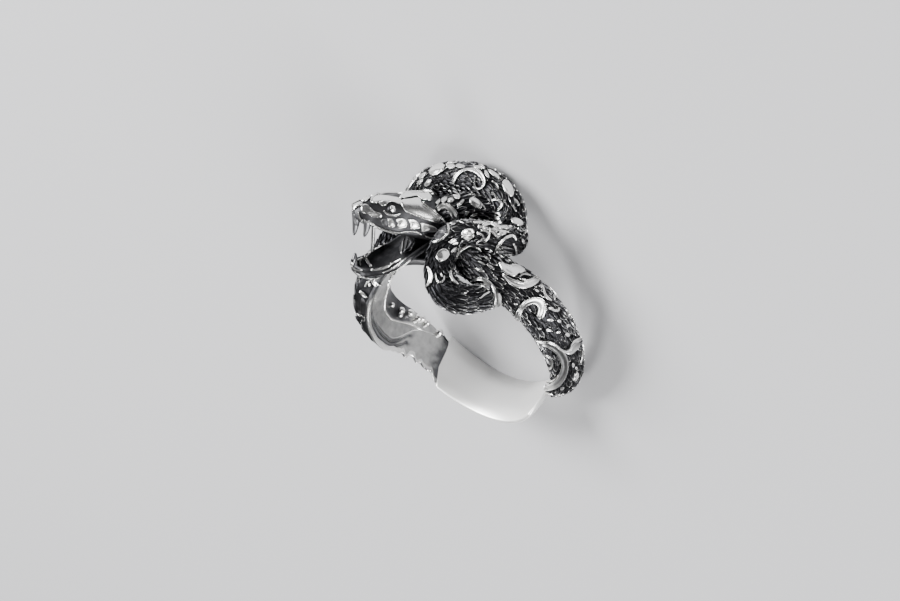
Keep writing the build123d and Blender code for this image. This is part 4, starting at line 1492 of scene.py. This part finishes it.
coils = {"left_coil": Coil(LEFT_COIL, LEFT_END_ROUNDING), "right_coil": Coil(RIGHT_COIL), "neck": Coil(NECK)}
skins = {name: coil_skin(coil) for name, coil in coils.items()}
finger_face = shank_face()
mesh_piece("left_finger_side", finger_face, cast)
body = Drape([*skins.values(), finger_face, skull])
marks = [body.stroke(lifted(s)) for s in ARCHES]
marks += [body.plate(lifted(p)) for p in SCUTES + [oval_plate(oval) for oval in OVALS]]
# Scales are kept off the marks by every third point of them, which lie close enough
taken = point_tree(np.vstack([points for points, _, _ in marks])[::3])
for x, y, radius in BEADS:
    centre = body.edge((x, y)) - body.ray((x, y)) * radius * BEAD_RISE
    marks.append(ball(centre, radius, BEAD_POLISH))
mesh_piece("crescents", join(marks), cast)


# Scales, mm. Rows are spaced by a share of a scale's length. Small scales are a share of the large ones' size
# and fill the gaps that lie farther than a reach from them.
SCALE_LENGTH = 1.02
SCALE_WIDTH = 0.53
SCALE_HEIGHT = 0.23
SCALE_SPACING = 0.66
SCALE_LEAST = 8
GAP_SCALE = 0.62
GAP_REACH = 0.42
SHINES = (0.3, 0.5, 0.7, 0.9, 1.0, 1.0)
# Scales keep this far from marks, small ones less, and from the left shank's finger side and its near edge
CLEAR_OF_MARKS = 0.2
CLEAR_OF_FACE = 0.25
CLEAR_OF_EDGE = 0.35
# Beyond this angle the left shank has scales only where it faces away from the camera
EDGE_ONLY = -101
FACING_AWAY = -0.15
# One scale: stations along it with half width, rim height and height inside the rim, as shares of its size
Station = namedtuple("Station", "along half_width rim inside")
SCALE_STATIONS = [
    Station(-0.50, 0.35, 0.05, 0.00),
    Station(-0.28, 0.80, 0.50, 0.15),
    Station(-0.02, 1.00, 0.80, 0.25),
    Station(0.22, 0.86, 1.00, 0.40),
    Station(0.40, 0.48, 1.10, 0.70),
    Station(0.50, 0.12, 0.95, 0.90),
]
# Points across a scale: place, share of the rim's height, share of the inside height, polish
Across = namedtuple("Across", "place rim inside shine")
ACROSS = [
    Across(-1.00, -0.5, 0.0, 0.0),
    Across(-0.97, 0.85, 0.0, 0.45),
    Across(-0.81, 1.00, 0.0, 1.0),
    Across(-0.62, 0.00, 1.0, 0.04),
    Across(0.00, 0.10, 1.3, 0.16),
    Across(0.62, 0.00, 1.0, 0.04),
    Across(0.81, 1.00, 0.0, 1.0),
    Across(0.97, 0.85, 0.0, 0.45),
    Across(1.00, -0.5, 0.0, 0.0),
]
TIP = 0.45


def scale_shape():
    """One scale, a rim round a sunk middle: points as (along, across, height), their polish, and faces."""
    points, polish = [], []
    for s in SCALE_STATIONS:
        for place, rim, inside, shine in ACROSS:
            height = rim * s.rim + inside * s.inside if rim >= 0 else rim
            points.append((s.along, place * s.half_width, height))
            if s.along < TIP:
                polish.append(shine * np.clip(0.15 + (s.along + 0.3) * 1.3, 0.1, 1.0))
            else:
                polish.append(float(rim >= 0))
    count = len(ACROSS)
    faces = grid_faces(len(SCALE_STATIONS), count, closed=False, capped=False)
    faces.append([(len(SCALE_STATIONS) - 1) * count + i for i in range(count)])
    return np.array(points), np.array(polish), faces


def painted_shade_and_light_at(point, normal):
    """Share of polish kept on a scale, changed by painted shade and a painted highlight: much less in the
    mouth and under the head, where the scales lie in shade, and more where a scale faces the camera.
    """
    forward, _, height = (point - HEAD_PLACE) @ HEAD
    # Painted shade: scales in the mouth and under the head are darkened
    painted_mouth_shade = np.clip(forward + 1.5, 0, 1) * np.clip(1.5 - height, 0, 1) * np.clip(height + 5.5, 0, 1)
    # Painted highlight: brighter where a scale faces the camera, darker where it turns away
    return (1 - 0.7 * painted_mouth_shade) * np.clip(0.75 + 0.4 * normal @ view, 0.5, 1.1)


def takes_scale(point, normal, share):
    """True away from the finger hole and from the drawn marks."""
    _, _, gap = taken.find(Vector(point))
    radius = np.hypot(point[0], point[1])
    angle = np.degrees(np.arctan2(point[0], point[1]))
    if SHANK_END < angle < SHANK_START:
        near, _, lip_far, _, slope = shank_at(angle)
        far_drop = np.clip((lip_far - point[2]) * FAR_SLOPE, 0, FAR_DROP)
        on_face = radius < FINGER_RADIUS + CLEAR_OF_FACE + far_drop
        over_edge = point[2] > near - slope * (radius - FINGER_RADIUS) - CLEAR_OF_EDGE
        if on_face or over_edge or (angle < EDGE_ONLY and normal @ view > FACING_AWAY):
            return False
    return gap > CLEAR_OF_MARKS * share and radius > FINGER_RADIUS + HOLE_BORDER


def laid_scale(coil, shape, here, turn, around, size, twist, direction):
    """Points of one scale bent onto a coil, whose radius there is given as around."""
    along = shape[:, 0] * SCALE_LENGTH * size * direction
    across = shape[:, 1] * SCALE_WIDTH * 0.5 * size
    u = along * cos(twist) - across * sin(twist)
    v = along * sin(twist) + across * cos(twist)
    points, _ = coil.surface(here + u, turn + v / around, shape[:, 2] * SCALE_HEIGHT * size - SKIN_DROP)
    return points


def scales(name, coil, direction, seed):
    """Overlapping pointed scales over a coil, tips along +1 or against -1 its own direction."""
    chance = np.random.default_rng(seed)
    shape, shape_polish, shape_faces = scale_shape()
    parts, centres = [], []
    for share in (1.0, GAP_SCALE):
        placed = point_tree(centres)
        rows = int(coil.length / (SCALE_LENGTH * SCALE_SPACING * share))
        for row in range(1, rows):
            s = coil.length * row / rows
            spread, girth = (values[0, 0] for values in coil.row(np.array([s]))[3:])
            round_length = 2 * pi * np.sqrt((spread**2 + girth**2) / 2)
            count = max(SCALE_LEAST, int(round_length / (SCALE_WIDTH * share)))
            for place in range(count):
                turn = 2 * pi * (place + 0.5 * (row % 2) + chance.uniform(-0.16, 0.16)) / count
                here = s + chance.uniform(-0.12, 0.12) * share
                size = chance.uniform(0.82, 1.22) * share
                twist = chance.uniform(-0.28, 0.28)
                shine = chance.choice(SHINES)
                middle, normal = (v[0] for v in coil.surface(np.array([here]), np.array([turn]), np.zeros(1)))
                if not takes_scale(middle, normal, share):
                    continue
                if share < 1 and centres and placed.find(Vector(middle))[2] < GAP_REACH:
                    continue
                around = np.hypot(spread * sin(turn), girth * cos(turn))
                points = laid_scale(coil, shape, here, turn, around, size, twist, direction)
                # Each scale's polish also carries painted shade under the head and a painted highlight where
                # it faces the camera
                parts.append((points, shape_polish * shine * painted_shade_and_light_at(middle, normal), shape_faces))
                if share == 1:
                    centres.append(middle)
    mesh_piece(name, join(parts), cast, smooth=False)


# Direction of the tips along each coil, and the seed of its scales
Growth = namedtuple("Growth", "coil direction seed")
for name, direction, seed in (Growth("left_coil", 1, 3), Growth("right_coil", -1, 5), Growth("neck", -1, 9)):
    mesh_piece(name, skins[name], cast)
    scales(name + "_scales", coils[name], direction, seed)


# Stage: floor and lights in m and W, lights placed by a direction in the ring's own frame
FLOOR_HALF = 0.6
LIGHT_AIM = (0.0, 0.0, 0.006)
Light = namedtuple("Light", "name direction distance size power")
LIGHTS = [
    Light("side", (0.80, -0.12, 0.58), 0.42, (0.26, 0.18), 3.6),
    Light("back", (-0.55, 0.62, 0.50), 0.42, (0.30, 0.14), 4.2),
    Light("low", (-0.62, 0.72, 0.24), 0.45, (0.24, 0.10), 2.2),
    Light("over", (-0.35, -0.30, 0.88), 0.45, (0.16, 0.16), 1.6),
]

camera_data = bpy.data.cameras.new("camera")
camera_data.lens = PHOTO_FOCAL
camera_data.sensor_width = SENSOR_WIDTH
camera_data.clip_start = 0.01
camera = bpy.data.objects.new("camera", camera_data)
camera_axes = REST @ np.array([picture_right, picture_up, view]).T
camera.matrix_world = Matrix.Translation(Vector(to_frame(station))) @ Matrix(camera_axes.tolist()).to_4x4()
bpy.context.scene.collection.objects.link(camera)
bpy.context.scene.camera = camera

floor_data = bpy.data.meshes.new("floor")
corners = [(FLOOR_HALF * x, FLOOR_HALF * y, 0) for x, y in ((-1, -1), (1, -1), (1, 1), (-1, 1))]
floor_data.from_pydata(corners, [], [(0, 1, 2, 3)])
floor = bpy.data.objects.new("floor", floor_data)
bpy.context.scene.collection.objects.link(floor)
paper, _, _, paper_shader = node_material("paper")
paper_shader.inputs["Base Color"].default_value = (0.38, 0.38, 0.39, 1)
paper_shader.inputs["Roughness"].default_value = 0.8
floor_data.materials.append(paper)


def area_light(light):
    """Rectangular lamp turned to the ring."""
    data = bpy.data.lights.new(light.name, "AREA")
    data.shape = "RECTANGLE"
    data.size, data.size_y = light.size
    data.energy = light.power
    lamp = bpy.data.objects.new(light.name, data)
    lamp.location = REST @ unit(np.array(light.direction)) * light.distance
    lamp.rotation_euler = (Vector(LIGHT_AIM) - lamp.location).to_track_quat("-Z", "Y").to_euler()
    bpy.context.scene.collection.objects.link(lamp)


for light in LIGHTS:
    area_light(light)

world = bpy.data.worlds.new("studio")
bpy.context.scene.world = world
world.use_nodes = True
world.node_tree.nodes["Background"].inputs["Color"].default_value = (0.5, 0.5, 0.52, 1)
world.node_tree.nodes["Background"].inputs["Strength"].default_value = 0.12
